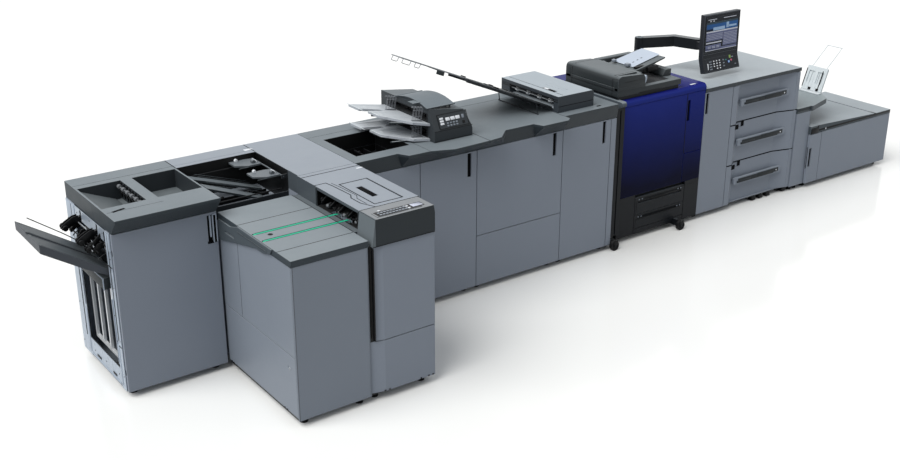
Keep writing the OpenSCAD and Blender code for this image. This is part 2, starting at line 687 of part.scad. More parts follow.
module belt_loop(r) {
  z = table_h - belt_r;
  for (x = belt_x) translate([x, z]) circle(r = r, $fn = 64);
  translate([belt_x[0], z - r]) square([belt_x[1] - belt_x[0], 2 * r]);
}
module conveyor_belts() color(c_green) for (y = belt_y)
  run_y(y - belt_w / 2, y + belt_w / 2) difference() {
    belt_loop(belt_r);
    belt_loop(belt_r - belt_t);
  }
module belt_drive_shaft() color(c_steel) {
  z = table_h - belt_r;
  bar_y([belt_x[1], channel_y[0] + rest_gap, z], roll_shaft_r, channel_y[1] - channel_y[0] - 2 * rest_gap);
  for (y = belt_y) bar_y([belt_x[1], y - belt_w / 2, z], belt_r - belt_t - rest_gap, belt_w);
}

// Flap that hangs on the table's left edge and swings up
flap_y = [-606, -8];
flap_t = 9;
flap_h = 144;
flap_shares = [[0, 0], [0.625, 0], [0.765, 0.18], [1, 0.18], [1, 0.95], [0.965, 1],
               [0.65, 0.67], [0.28, 0.32],
               [0.165, 0.33], [0.02, 0.17]];
flap_hand_shares = [[0.70, 0.57], [0.875, 0.48]];
module side_flap() color(c_top) {
  x1 = tbl_x0 - tbl_lip - rest_gap;
  lo = [flap_y[0], table_h - flap_t / 2];
  hi = [flap_y[1], table_h - flap_h];
  top_y = spot(lo, hi, flap_shares[1]);
  bar_y([x1 - flap_t / 2, lo.x, lo.y], flap_t / 2 - rest_gap, top_y.x - lo.x);
  difference() {
    run_x(x1 - flap_t, x1) polygon(spots(lo, hi, flap_shares));
    run_x(x1 - flap_t - cut, x1 + cut)
      round_rect(spot(lo, hi, flap_hand_shares[0]), spot(lo, hi, flap_hand_shares[1]), flap_t / 2);
  }
}

// Folder: fixed front panel on the left, door on the right, a dark pit under the inserter's trays
fld_split_share = 0.516;
fld_pit_x_shares = [0.08, 0.5];
fld_pit_y_shares = [0.13, 0.7];
fld_pit_x = span(x_fld, fld_w, fld_pit_x_shares);
fld_pit_y = span(0, row_d, fld_pit_y_shares);
fld_pit_d = 108;
fld_ramp_shares = [0.33, 0.8];
fld_split_groove_share = 0.54;
fld_lip_shares = [[0, 0.09], [0.33, 0.09], [0.37, 0.58], [0.54, 0.62], [0.7, 1], [1, 0.93]];
module folder_cabinet() {
  split = x_fld + fld_split_share * fld_w;
  color(c_light) difference() {
    union() {
      carcass([x_fld, face_y, skirt_h], [x_stk, row_d, door_top], [split + 2 * wall, door_z0 + wall],
              [x_stk - wall, door_top - wall], bay_d);
      slab([fld_pit_x[0] - wall, fld_pit_y[0] - wall, door_top - fld_pit_d - wall],
           [fld_pit_x[1] + wall, fld_pit_y[1] + wall, door_top]);
      door_lugs(split + seam, x_stk - seam / 2, 0, door_z0, door_z1, -1);
      bay_fittings(split + 2 * wall, x_stk - wall, face_y + bay_d, door_z0, door_z1);
    }
    slab([fld_pit_x[0], fld_pit_y[0], door_top - fld_pit_d], [fld_pit_x[1], fld_pit_y[1], door_top + cut]);
  }
  color(c_light) slab([x_fld + seam / 2, 0, door_z0], [split, face_y, door_z1]);
  color(c_black) run_y(fld_pit_y[0] + roll_w, fld_pit_y[1] - roll_w)
    polygon([[fld_pit_x[0] + roll_w, door_top - fld_pit_d], [fld_pit_x[1] - roll_w, door_top - fld_pit_d],
             [fld_pit_x[1] - roll_w, door_top - fld_ramp_shares[0] * fld_pit_d],
             [fld_pit_x[0] + roll_w, door_top - fld_ramp_shares[1] * fld_pit_d]]);
}
// A static top cover with its front lip
module top_cover(x, w, lip_shares) {
  wave_lip(x, w, lip_shares);
  slab([x + seam / 2, lip_back, door_top], [x + w - seam / 2, row_d, row_h]);
}
module folder_top_cover() color(c_top) difference() {
  top_cover(x_fld, fld_w, fld_lip_shares);
  slab([fld_pit_x[0], fld_pit_y[0], door_top - cut], [fld_pit_x[1], fld_pit_y[1], row_h + cut]);
  split = x_fld + fld_split_groove_share * fld_w;
  top_groove([[split, -lip_reach], [split, row_d]], row_h);
  top_groove([[x_fld, seam_back_share * row_d], [x_stk, seam_back_share * row_d]], row_h);
}
fld_grip_in = 58;
module folder_door() color(c_light)
  door_leaf(x_fld + fld_split_share * fld_w + seam, x_stk - seam / 2, 0, door_z0, door_z1, -1,
            [x_stk - fld_grip_in, door_z1 - lip_flat / 2]);

// Inserter on the folder's top
ins_in = 571;
ins_x0 = x_fld + ins_in;
ins_w = 278;
ins_y0 = 20;
ins_end_shares = [[0, 0], [0.99, 0], [1, 0.23], [0.86, 0.83], [0, 1]];
ins_lean = 60;
ins_wall = 14;
mouth_z_shares = [[0.1, 0.34], [0.6, 0.82]];
mouth_d = 70;
mouth_in = 84;
ins_step_share = 0.36;
key_panel_shares = [[0.16, 0.06], [0.9, 0.66]];
module inserter_body() {
  lo = [ins_x0, row_h];
  hi = [ins_x0 + ins_w, row_h + ins_h];
  console_z = row_h + ins_step_share * ins_h;
  rise = hi.y - console_z;
  tilt = atan2(ins_lean, rise);
  color(c_light) for (p = lid_hinges) {
    hinge_eyes(p, false);
    for (y = eye_ends)
      slab(p + [cut - barrel_r, y, -5 * barrel_r], p + [barrel_r - cut, y + eye_w, 0]);
  }
  color(c_light) difference() {
    run_y(ins_y0, ins_y0 + ins_d) polygon(spots(lo, hi, ins_end_shares));
    run_x(lo.x - cut, hi.x + cut)
      polygon([[ins_y0 - cut, console_z], [ins_y0, console_z], [ins_y0 + ins_lean, hi.y],
               [ins_y0 + ins_lean, hi.y + cut],
               [ins_y0 - cut, hi.y + cut]]);
    for (s = mouth_z_shares)
      slab([lo.x - cut, ins_y0 + mouth_in, row_h + s[0] * ins_h],
           [lo.x + mouth_d, ins_y0 + ins_d - mouth_in, row_h + s[1] * ins_h]);
    slab([lo.x + mouth_d + ins_wall, ins_y0 + mouth_in, row_h + ins_wall],
         [hi.x - 4 * ins_wall, ins_y0 + ins_d - ins_lean, hi.y - 3 * ins_wall]);
  }
  color(c_dark) translate([0, ins_y0, console_z]) rotate([-tilt, 0, 0]) {
    w = [for (s = key_panel_shares) ins_x0 + s.x * ins_w];
    h = rise / cos(tilt);
    slab([w[0], -key_t, key_panel_shares[0].y * h], [w[1], key_t, key_panel_shares[1].y * h]);
  }
}
lid_r = 525;
lid_over = 10;
lid_w = 200;
lid_len_share = 0.71;
lid_x = [ins_x0 - lid_over, ins_x0 - lid_over + lid_w];
lid_skin = 6;
lid_tab = 45;
lid_hinge_shares = [0.22, 0.6];
lid_tab_shares = [0.23, 0.4];
lid_hinges = [for (y = span(ins_y0, ins_d, lid_hinge_shares))
  [lid_x[1] - barrel_r, y, row_h + ins_h - barrel_r + cut]];
module inserter_lid() color(c_top) difference() {
  union() {
    lid_cover();
    for (p = lid_hinges) hinge_barrel(p, false);
  }
  for (p = lid_hinges) hinge_bore(p, false);
}
module lid_cover() {
  y = [ins_y0 + ins_lean, ins_y0 + lid_len_share * ins_d];
  z = row_h + ins_h + rest_gap;
  mid = (y[0] + y[1]) / 2;
  drop = sqrt(lid_r * lid_r - pow((y[1] - y[0]) / 2, 2));
  intersection() {
    run_x(lid_x[0], lid_x[1]) difference() {
      translate([mid, z - drop]) circle(r = lid_r, $fn = 128);
      translate([mid, z - drop]) circle(r = lid_r - lid_skin, $fn = 128);
    }
    slab([lid_x[0], y[0], z], [lid_x[1], y[1], z + lid_r]);
  }
  slab([lid_x[0], y[0], z], [lid_x[1], y[0] + 2 * lid_skin, z + lid_skin]);
  slab([lid_x[0], y[1] - 2 * lid_skin, z], [lid_x[1], y[1], z + lid_skin]);
  for (x = [lid_x[1] - lid_skin, ins_x0]) intersection() {
    run_x(x, x + lid_skin) translate([mid, z - drop]) circle(r = lid_r - lid_skin / 2, $fn = 128);
    slab([lid_x[0], y[0] + lid_skin, z], [lid_x[1], y[1] - lid_skin, z + lid_r]);
  }
  slab([lid_x[0] - lid_tab, y[0] + lid_tab_shares[0] * (y[1] - y[0]), z + lid_r - drop - 2 * lid_skin],
       [lid_x[0] + lid_skin, y[0] + lid_tab_shares[1] * (y[1] - y[0]), z + lid_r - drop - lid_skin]);
}

// Two winged sheet trays that rise to the left
wing_t = 14;
wing_len = 285;
wing_w = 502;
wing_rise = [11, 5];
wing_root_z_shares = [0.56, 0.083];
wing_shares = [[0, 1], [1, 0.97], [1, 0.73], [0.5, 0.7], [0.5, 0.64], [0.9, 0.62], [0.9, 0.37],
               [0.42, 0.06], [0, 0]];
wing_y0 = 63;
module inserter_trays() color(c_light) for (i = [0, 1])
  difference() {
    translate([ins_x0, 0, row_h + wing_root_z_shares[i] * ins_h]) rotate([0, wing_rise[i], 0])
      run_z(-wing_t, 0)
        polygon([for (s = wing_shares) [wing_t - s.x * (wing_len - i * wing_t), wing_y0 + s.y * wing_w]]);
    slab([ins_x0, wing_y0 - cut, row_h], [ins_x0 + 2 * wing_t, wing_y0 + wing_w + cut, row_h + ins_h]);
  }

guide_len_x = 90;
guide_plate = 5;
comb_shares = [0.1, 0.36, 0.62, 0.88];
comb_w = 12;
comb_h_shares = [0.36, 0.3];
module sheet_guide(y) for (i = [0, 1]) {
  z = row_h + wing_root_z_shares[i] * ins_h;
  translate([ins_x0, y, z]) rotate([0, wing_rise[i], 0]) {
    h = comb_h_shares[i] * ins_h;
    slab([-guide_len_x, -guide_plate / 2, rest_gap], [-2 * comb_w, guide_plate / 2, h - comb_w]);
    for (s = comb_shares) let (x = -guide_len_x + s * (guide_len_x - 2 * comb_w))
      slab([x - comb_w / 3, -guide_plate / 2, h - 2 * comb_w], [x + comb_w / 3, guide_plate / 2, h]);
  }
}
guide_rest_y_shares = [0.197, 0.629];
module front_sheet_guides() color(c_steel) sheet_guide(guide_rest_y_shares[0] * row_d);
module rear_sheet_guides() color(c_steel) sheet_guide(guide_rest_y_shares[1] * row_d);

// Stacker with an upper door over a fixed panel
stk_panel_z = 378;
stk_lip_shares = [[0, 0.93], [0.14, 0.84], [0.29, 0.16], [0.61, 0.18], [0.65, 0.66], [0.95, 0.66], [1, 0.45]];
stk_grip_in = 68;
module stacker_cabinet() color(c_light) {
  carcass([x_stk, face_y, skirt_h], [x_rly, row_d, door_top], [x_stk + wall, stk_panel_z + seam + wall],
          [x_rly - wall, door_top - wall], bay_d);
  door_lugs(x_stk + seam / 2, x_rly - seam / 2, 0, stk_panel_z + seam, door_z1, -1);
  bay_fittings(x_stk + wall, x_rly - wall, face_y + bay_d, stk_panel_z, door_top);
  slab([x_stk + seam / 2, 0, door_z0], [x_rly - seam / 2, face_y, stk_panel_z]);
}
module stacker_top_cover() color(c_top) difference() {
  top_cover(x_stk, stk_w, stk_lip_shares);
  top_groove([[x_stk, seam_back_share * row_d], [x_rly, seam_back_share * row_d]], row_h);
}
module stacker_door() color(c_light)
  door_leaf(x_stk + seam / 2, x_rly - seam / 2, 0, stk_panel_z + seam, door_z1, -1,
            [x_rly - stk_grip_in, door_z1 - seam]);

// Relay unit with a fixed strip beside its door
rly_strip_w = 47;
rly_lip_shares = [[0, 0.08], [1, 0.08]];
rly_grip_in = 108;
module relay_cabinet() {
  door_x1 = x_eng - rly_strip_w - seam;
  color(c_light) {
    carcass([x_rly, face_y, skirt_h], [x_eng, row_d, door_top], [x_rly + wall, door_z0 + wall],
            [door_x1 - wall, door_top - wall], bay_d);
    door_lugs(x_rly + seam / 2, door_x1, 0, door_z0, door_z1, -1);
    bay_fittings(x_rly + wall, door_x1 - wall, face_y + bay_d, door_z0, door_z1);
    slab([door_x1 + seam, 0, door_z0], [x_eng - seam / 2, face_y, door_z1]);
  }
  color(c_top) top_cover(x_rly, rly_w, rly_lip_shares);
}
module relay_door() color(c_light)
  door_leaf(x_rly + seam / 2, x_eng - rly_strip_w - seam, 0, door_z0, door_z1, -1,
            [x_eng - rly_grip_in, door_z1 - seam]);

// Long sheet unit on the relay, with a tray that climbs over the stacker
ban_in = 5;
ban_x0 = x_rly + ban_in;
ban_w = 300;
ban_y = [62, 650];
ban_r = 16;
ban_mouth_d = 60;
ban_mouth_shares = [0.08, 0.85];
ban_mouth_z_shares = [0.2, 0.78];
ban_slot_shares = [[0.45, 0.55], [0.2, 0.8]];
module banner_unit() color(c_top) difference() {
  run_y(ban_y[0], ban_y[1]) difference() {
    translate([ban_x0, row_h]) square([ban_w, ban_h]);
    translate([ban_x0 + ban_w - ban_r, row_h + ban_h - ban_r]) difference() {
      square([ban_r + cut, ban_r + cut]);
      circle(r = ban_r, $fn = 48);
    }
  }
  y = [for (s = ban_mouth_shares) ban_y[0] + s * (ban_y[1] - ban_y[0])];
  z = [for (s = ban_mouth_z_shares) row_h + s * ban_h];
  slab([ban_x0 - cut, y[0], z[0]], [ban_x0 + ban_mouth_d, y[1], z[1]]);
  slab([ban_x0 + ban_mouth_d + wall, ban_y[0] + wall, row_h + wall],
       [ban_x0 + ban_w - ban_r, ban_y[1] - wall, row_h + ban_h - 2 * wall]);
  slab([ban_x0 + ban_slot_shares[0][0] * ban_w, y[0] + ban_slot_shares[1][0] * ban_w, row_h + ban_h - wall],
       [ban_x0 + ban_slot_shares[0][1] * ban_w, y[0] + ban_slot_shares[1][1] * ban_w, row_h + ban_h + cut]);
}
ban_roll = [22, 58];
module banner_rollers() color(c_white) {
  y = [for (s = ban_mouth_shares) ban_y[0] + s * (ban_y[1] - ban_y[0])];
  roller_shaft([ban_x0 + ban_roll[0], y[0] + rest_gap, row_h + ban_roll[1]],
               y[1] - y[0] - 2 * rest_gap, 4, roll_r, roll_w);
}
ban_pivot_in = [10, 27];
ban_pivot = [x_rly - ban_pivot_in.x, row_h + ban_pivot_in.y];
ban_len = 650;
ban_t = 10;
ban_plan_shares = [[0, 0], [0.22, 0], [0.42, 0.24], [1, 0.24], [1, 0.74], [0.42, 0.78], [0.22, 1], [0, 1]];
ban_tray_y = [110, 520];
ban_rib_h = 12;
ban_rib_shares = [0.24, 0.7];
ban_plate_shares = [[0.3, 0.45], [0.62, 0.5]];
ban_plate = [60, 36];
ban_leg_x = 130;
wire_r = 3;
foot_bar_r = 4;
wire_y_shares = [0.36, 0.6];
channel_t = 4;
module on_banner() translate([ban_pivot.x, 0, ban_pivot.y]) rotate([0, ban_tilt, 0]) children();
module banner_tray() color(c_dark) {
  d = [-ban_len, ban_tray_y[1] - ban_tray_y[0]];
  on_banner() {
    difference() {
      union() {
        run_z(0, ban_t) polygon([for (s = ban_plan_shares) [s.x * d.x, ban_tray_y[0] + s.y * d.y]]);
        for (s = ban_rib_shares) slab([-ban_len, ban_tray_y[0] + s * d.y, -ban_rib_h],
                                   [-ban_t, ban_tray_y[0] + s * d.y + ban_t, 0]);
      }
      for (s = wire_y_shares) let (y = ban_tray_y[0] + s * d.y)
        slab([-ban_len - cut, y - wire_r - rest_gap, ban_t - 2 * wire_r],
             [-ban_len / 3, y + wire_r + rest_gap, ban_t + cut]);
    }
    for (s = ban_plate_shares) translate([s.x * d.x, ban_tray_y[0] + s.y * d.y, ban_t])
      slab([0, 0, 0], [ban_plate.x, ban_plate.y, channel_t]);
    bar_y([0, ban_tray_y[0], 0], ban_t / 2, d.y);
  }
  up = ban_pivot + [-ban_leg_x * cos(ban_tilt), ban_leg_x * sin(ban_tilt)];
  foot_z = row_h + foot_bar_r + rest_gap;
  for (y = [ban_tray_y[0] + ban_t, ban_tray_y[1] - ban_t])
    strut([up.x, y, up.y + wire_r], [up.x + ban_t, y, foot_z], wire_r);
  bar_y([up.x + ban_t, ban_tray_y[0], foot_z], foot_bar_r, d.y);
}
wire_len = 490;
wire_in = 180;
wire_drop = 95;
wire_loop_shares = [0.45, 0.75];
module banner_wire() color(c_steel) on_banner() {
  w = ban_tray_y[1] - ban_tray_y[0];
  y = [for (s = wire_y_shares) ban_tray_y[0] + s * w];
  x0 = -ban_len - wire_len;
  z = ban_t - wire_r + rest_gap;
  for (p = y) strut([x0, p, z], [-ban_len + wire_in, p, z], wire_r);
  strut([x0, y[0] - wire_r, z], [x0, y[1] + wire_r, z], wire_r);
  for (s = wire_loop_shares) let (x = -ban_len - s * wire_len) {
    for (p = y) strut([x, p, z], [x + wire_drop / 3, p, z - wire_drop], wire_r);
    strut([x + wire_drop / 3, y[0] - wire_r, z - wire_drop],
          [x + wire_drop / 3, y[1] + wire_r, z - wire_drop], wire_r);
  }
  slab([x0 + wire_len / 2, y[0] - wire_r, z],
       [x0 + wire_len / 2 + ban_plate.x, y[1] + wire_r, z + channel_t]);
}

// Print engine: dark frame with bays, column and rail on the left, skirts and caster brackets
eng_y0 = 41;
eng_y1 = eng_y0 + eng_d;
eng_face = eng_y0 + face_y;
eng_z0 = 2 * caster_r + slide_gap;
eng_skirt_z = 40;
eng_cover_t = 45;
eng_top = eng_h - eng_cover_t;
eng_door_z0 = 334;
eng_main_in = [89, 698];
eng_main_x = along(x_eng, eng_main_in);
eng_side_x = [eng_main_x[1] + seam, x_fdr - seam / 2];
eng_side_z = 548;
eng_bay_d = 200;
cas_in = [256, 734];
cas_x = along(x_eng, cas_in);
cas_d = 520;
cas_tops = [178, 308];
cas_z = [[eng_z0 + wall + seam, cas_tops[0]], [cas_tops[0] + seam, cas_tops[1]]];
col_in = [5, 80];
col_x = along(x_eng, col_in);
col_y0 = 10;
col_z0 = 90;
rail_strip_in = [44, 84];
rail_strip_x = along(x_eng, rail_strip_in);
rail_strip_h = 38;
wheel_in = [18, 656];
wheel_x = along(x_eng, wheel_in);
wheel_ends = [-22, -42];
wheel_y = [wheel_ends[0], eng_y1 + wheel_ends[1]];
wheel_w = 24;
axle_r = 5;
scan_in = [62, 630];
scan_x = along(x_eng, scan_in);
scan_y = [72, 600];
scan_h = 26;
glass_in = 40;
hub_shares = [0.62, 0.36];
module engine_frame() {
  x0 = x_eng;
  color(c_dark) {
    difference() {
      union() {
        slab([x0, eng_face, eng_z0], [x_fdr, eng_y1, eng_top]);
        slab([x0, eng_face, eng_top], [eng_main_x[0] - seam, eng_y1, eng_top + lip_flat]);
        slab([eng_main_x[0], eng_y0, eng_skirt_z], [cas_x[0] - seam, eng_face, eng_door_z0 - seam / 2]);
        slab([cas_x[1] + seam, eng_y0, eng_skirt_z], [eng_side_x[1], eng_face, eng_door_z0 - seam / 2]);
        slab([cas_x[0], eng_y0, eng_skirt_z], [cas_x[1], eng_face, cas_z[0][0] - seam]);
        slab([col_x[0], col_y0, col_z0], [col_x[1], eng_face, eng_top + lip_flat]);
      }
      slab([eng_main_x[0] + wall, eng_face - cut, eng_door_z0 + wall],
           [eng_main_x[1] - wall, eng_face + eng_bay_d, eng_top - 2 * wall]);
      slab([eng_side_x[0] + wall, eng_face - cut, eng_side_z + wall],
           [eng_side_x[1] - wall, eng_face + eng_bay_d, eng_top - 2 * wall]);
      for (z = cas_z) slab([cas_x[0] + wall - slide_gap, eng_face - cut, z[0] - rest_gap],
                           [cas_x[1] - wall + slide_gap, eng_face + cas_d, z[1] + slide_gap]);
      slab([x0 + wall, eng_face + eng_bay_d + wall, eng_door_z0 + wall],
           [x_fdr - wall, eng_y1 - wall, eng_top - wall]);
      slab([(col_x[0] + col_x[1]) / 2 - seam, col_y0 - cut, col_z0 + wall],
           [(col_x[0] + col_x[1]) / 2 + seam, col_y0 + 2 * wall, eng_top]);
    }
    door_lugs(eng_main_x[0], eng_main_x[1], eng_y0, eng_door_z0, eng_top - skin_t, -1);
    door_lugs(eng_side_x[0], eng_side_x[1], eng_y0, eng_side_z, eng_top - skin_t, 1);
    for (x = wheel_x) {
      slab([x - wheel_w / 2, wheel_y[0] + wheel_w, caster_r - 2 * axle_r],
           [x + wheel_w / 2, eng_face, eng_z0]);
      slab([x - wheel_w / 2, wheel_y[1] - 2 * wheel_w, caster_r - 2 * axle_r],
           [x + wheel_w / 2, wheel_y[1] - wheel_w, eng_z0]);
      bar_y([x, wheel_y[0] - wheel_w / 2 - seam, caster_r], axle_r, 2 * wheel_w);
      bar_y([x, wheel_y[1] - 2 * wheel_w, caster_r], axle_r, 2.5 * wheel_w + seam);
      for (y = [wheel_y[0] - wheel_w / 2 - seam, wheel_y[1] + wheel_w / 2 + rest_gap])
        bar_y([x, y, caster_r], 2 * axle_r, seam - rest_gap);
    }
    for (p = adf_hinges) {
      hinge_eyes(p, true);
      for (x = eye_ends) slab(p + [x, cut - barrel_r, -3 * barrel_r], p + [x + eye_w, barrel_r - cut, 0]);
    }
    difference() {
      slab([scan_x[0], scan_y[0], eng_h], [scan_x[1], scan_y[1], eng_h + scan_h]);
      slab([scan_x[0] + 2 * glass_in, scan_y[0] + glass_in, eng_h + scan_h - plate_t],
           [scan_x[1] - glass_in, scan_y[1] - 2 * glass_in, eng_h + scan_h + cut]);
    }
    slab([scan_x[0] + 2 * glass_in, scan_y[0] + glass_in, eng_h + scan_h - plate_t],
         [scan_x[1] - glass_in, scan_y[1] - 2 * glass_in, eng_h + scan_h - rest_gap]);
  }
  color(c_light) run_x(rail_strip_x[0], rail_strip_x[1]) {
    z = eng_top + lip_flat;
    translate([rail_strip_h / 2, z]) square([scan_y[1] - rail_strip_h / 2, rail_strip_h]);
    translate([rail_strip_h / 2, z + rail_strip_h / 2]) circle(r = rail_strip_h / 2, $fn = 48);
  }
}
module engine_covers() color(c_blue) {
  run_x(eng_main_x[0] - plate_t, x_fdr) {
    y = eng_y0 - plate_t;
    translate([y + eng_edge_r, eng_top]) square([eng_y1 - y - eng_edge_r, eng_cover_t]);
    translate([y, eng_top]) square([eng_edge_r, eng_cover_t - eng_edge_r]);
    intersection() {
      translate([y + eng_edge_r, eng_h - eng_edge_r]) circle(r = eng_edge_r, $fn = 96);
      translate([y, eng_h - eng_edge_r]) square(eng_edge_r + cut);
    }
  }
  slab([eng_side_x[0], eng_y0, eng_door_z0], [eng_side_x[1], eng_face, eng_side_z - seam]);
}
toner_grip_in = 20;
toner_grip_drop = 52;
module engine_main_door() color(c_blue)
  door_leaf(eng_main_x[0], eng_main_x[1], eng_y0, eng_door_z0, eng_top - skin_t, -1, undef);
module toner_door() color(c_blue)
  door_leaf(eng_side_x[0], eng_side_x[1], eng_y0, eng_side_z, eng_top - skin_t, 1,
            [eng_side_x[0] + toner_grip_in, eng_top - toner_grip_drop]);

unit_shares = [0.04, 0.27, 0.5, 0.73];
unit_w_share = 0.2;
unit_z_shares = [0.36, 0.62];
belt_unit_shares = [[0.04, 0.1], [0.93, 0.3]];
fuser_shares = [[0.04, 0.7], [0.6, 0.93]];
bottle_r = 36;
bottle_shares = [[0.26, 0.27], [0.74, 0.27], [0.26, 0.7], [0.74, 0.7]];
unit_front = 40;
module imaging_units() {
  back = eng_face + eng_bay_d;
  lo = [eng_main_x[0], eng_door_z0];
  hi = [eng_main_x[1], eng_top];
  color(c_dark) {
    for (s = unit_shares) {
      a = spot(lo, hi, [s, unit_z_shares[0]]);
      b = spot(lo, hi, [s + unit_w_share, unit_z_shares[1]]);
      slab([a.x, eng_face + unit_front, a.y], [b.x, back, b.y]);
      bar_y([(a.x + b.x) / 2, eng_face + unit_front - knob_l, (a.y + b.y) / 2], knob_r, knob_l);
    }
    for (t = [belt_unit_shares, fuser_shares]) {
      a = spot(lo, hi, t[0]);
      b = spot(lo, hi, t[1]);
      slab([a.x, eng_face + 1.5 * unit_front, a.y], [b.x, back, b.y]);
      slab([(a.x + b.x) / 2 - lever_w, eng_face + unit_front, (a.y + b.y) / 2 - lever_t],
           [(a.x + b.x) / 2 + lever_w, eng_face + 1.5 * unit_front, (a.y + b.y) / 2]);
    }
  }
  color(c_white) for (s = bottle_shares) {
    p = spot([eng_side_x[0], eng_side_z], [eng_side_x[1], eng_top], s);
    bar_y([p.x, eng_face + unit_front, p.y], bottle_r, eng_bay_d - unit_front);
    bar_y([p.x, eng_face + unit_front - knob_l, p.y], knob_r, knob_l);
  }
}

pull_shares = [[0.06, 0.94], [0.62, 0.9]];
pull_d = 16;
module cassette(z) color(c_dark) {
  x = cas_x;
  face = eng_y0 + door_t;
  difference() {
    slab([x[0], eng_y0, z[0]], [x[1], face, z[1]]);
    px = span(x[0], x[1] - x[0], pull_shares[0]);
    pz = span(z[0], z[1] - z[0], pull_shares[1]);
    slab([px[0], eng_y0 - cut, pz[0]], [px[1], eng_y0 + pull_d, pz[1]]);
  }
  difference() {
    slab([x[0] + wall, face, z[0]], [x[1] - wall, face + cas_d - 2 * unit_front, z[1] - wall]);
    slab([x[0] + 2 * wall, face + wall, z[0] + wall],
         [x[1] - 2 * wall, face + cas_d - 2 * unit_front - wall, z[1] + cut]);
  }
}
module upper_cassette() cassette(cas_z[1]);
module lower_cassette() cassette(cas_z[0]);
module caster_wheels(x) color(c_black) for (y = wheel_y) difference() {
  bar_y([x, y - wheel_w / 2, caster_r], caster_r, wheel_w);
  bar_y([x, y - wheel_w, caster_r], axle_r + pin_fit, 2 * wheel_w);
  for (s = [-wheel_w / 2 - cut, wheel_w / 2 - plate_t]) translate([0, y + s, 0]) difference() {
    bar_y([x, 0, caster_r], hub_shares[0] * caster_r, plate_t + cut);
    bar_y([x, -cut, caster_r], hub_shares[1] * caster_r, plate_t + 3 * cut);
  }
}
module left_caster_wheels() caster_wheels(wheel_x[0]);
module right_caster_wheels() caster_wheels(wheel_x[1]);

// Document feeder over the glass
adf_in = 50;
adf_x0 = x_eng + adf_in;
adf_y = [58, 582];
adf_z0 = eng_h + scan_h + rest_gap;
adf_hump_w = 252;
adf_plate_t = 42;
adf_back_w = 54;
adf_r = 40;
feed_w = 196;
feed_in = 35;
feed_y = [adf_y[0] + feed_in, adf_y[1] - adf_back_w];
feed_rise = 62;
feed_z = adf_z0 + feed_rise;
doc_tray_t = 8;
doc_rise = 60;
doc_end_in = 100;
doc_end_w = 82;
doc_end_share = 0.65;
doc_mouth_share = 0.6;
adf_hinge_shares = [0.15, 0.85];
adf_hinges = [for (x = span(adf_x0, adf_w, adf_hinge_shares))
  [x, adf_y[1] + barrel_r + 2 * cut, adf_z0 + barrel_r + cut]];
module adf_section() {
  translate([adf_x0 + adf_r, adf_z0]) square([adf_hump_w - adf_r, adf_h]);
  translate([adf_x0, adf_z0]) square([adf_hump_w, adf_h - adf_r]);
  translate([adf_x0 + adf_r, adf_z0 + adf_h - adf_r]) circle(r = adf_r, $fn = 96);
}
module document_feeder() color(c_dark) {
  x1 = adf_x0 + adf_w;
  hump_x = adf_x0 + adf_hump_w;
  tray_z = adf_z0 + adf_h - 2 * lip_flat;
  for (p = adf_hinges) difference() {
    union() {
      hinge_barrel(p, true);
      slab(p - [barrel_w / 2, barrel_r + skin_t, barrel_r - cut], p + [barrel_w / 2, 0, barrel_r - cut]);
    }
    hinge_bore(p, true);
  }
  difference() {
    union() {
      run_y(adf_y[0], adf_y[1]) adf_section();
      slab([adf_x0, adf_y[0], adf_z0], [x1, adf_y[1], adf_z0 + adf_plate_t]);
      slab([hump_x - cut, feed_y[1], adf_z0], [x1, adf_y[1], adf_z0 + adf_h - lip_flat]);
      slab([x1 - doc_end_w, adf_y[0] + doc_end_in, adf_z0], [x1, adf_y[1], adf_z0 + doc_end_share * adf_h]);
    }
    slab([adf_x0 - cut, feed_y[0] - slide_gap, feed_z - rest_gap],
         [adf_x0 + feed_w + 2 * slide_gap, feed_y[1] + slide_gap, adf_z0 + adf_h + cut]);
    slab([hump_x - feed_w / 4, feed_y[0], adf_z0 + adf_plate_t],
         [hump_x + cut, feed_y[1], adf_z0 + doc_mouth_share * adf_h]);
  }
  run_y(feed_y[0], feed_y[1] - slide_gap)
    polygon([[hump_x, tray_z], [x1 - doc_end_w / 2, tray_z + doc_rise],
             [x1 - doc_end_w / 2, tray_z + doc_rise - doc_tray_t], [hump_x, tray_z - doc_tray_t]]);
}
module feed_cover() color(c_dark) difference() {
  run_y(feed_y[0], feed_y[1]) difference() {
    intersection() {
      adf_section();
      translate([adf_x0, feed_z]) square([feed_w, adf_h]);
    }
    difference() {
      translate([adf_x0 - cut, feed_z - cut]) square(barrel_r + cut);
      translate([adf_x0 + barrel_r, feed_z + barrel_r]) circle(r = barrel_r, $fn = 48);
    }
  }
  slab([adf_x0 + lip_flat, feed_y[0] + wall, feed_z - cut],
       [adf_x0 + feed_w - wall, feed_y[1] - wall, adf_z0 + adf_h - 3 * lip_flat]);
}

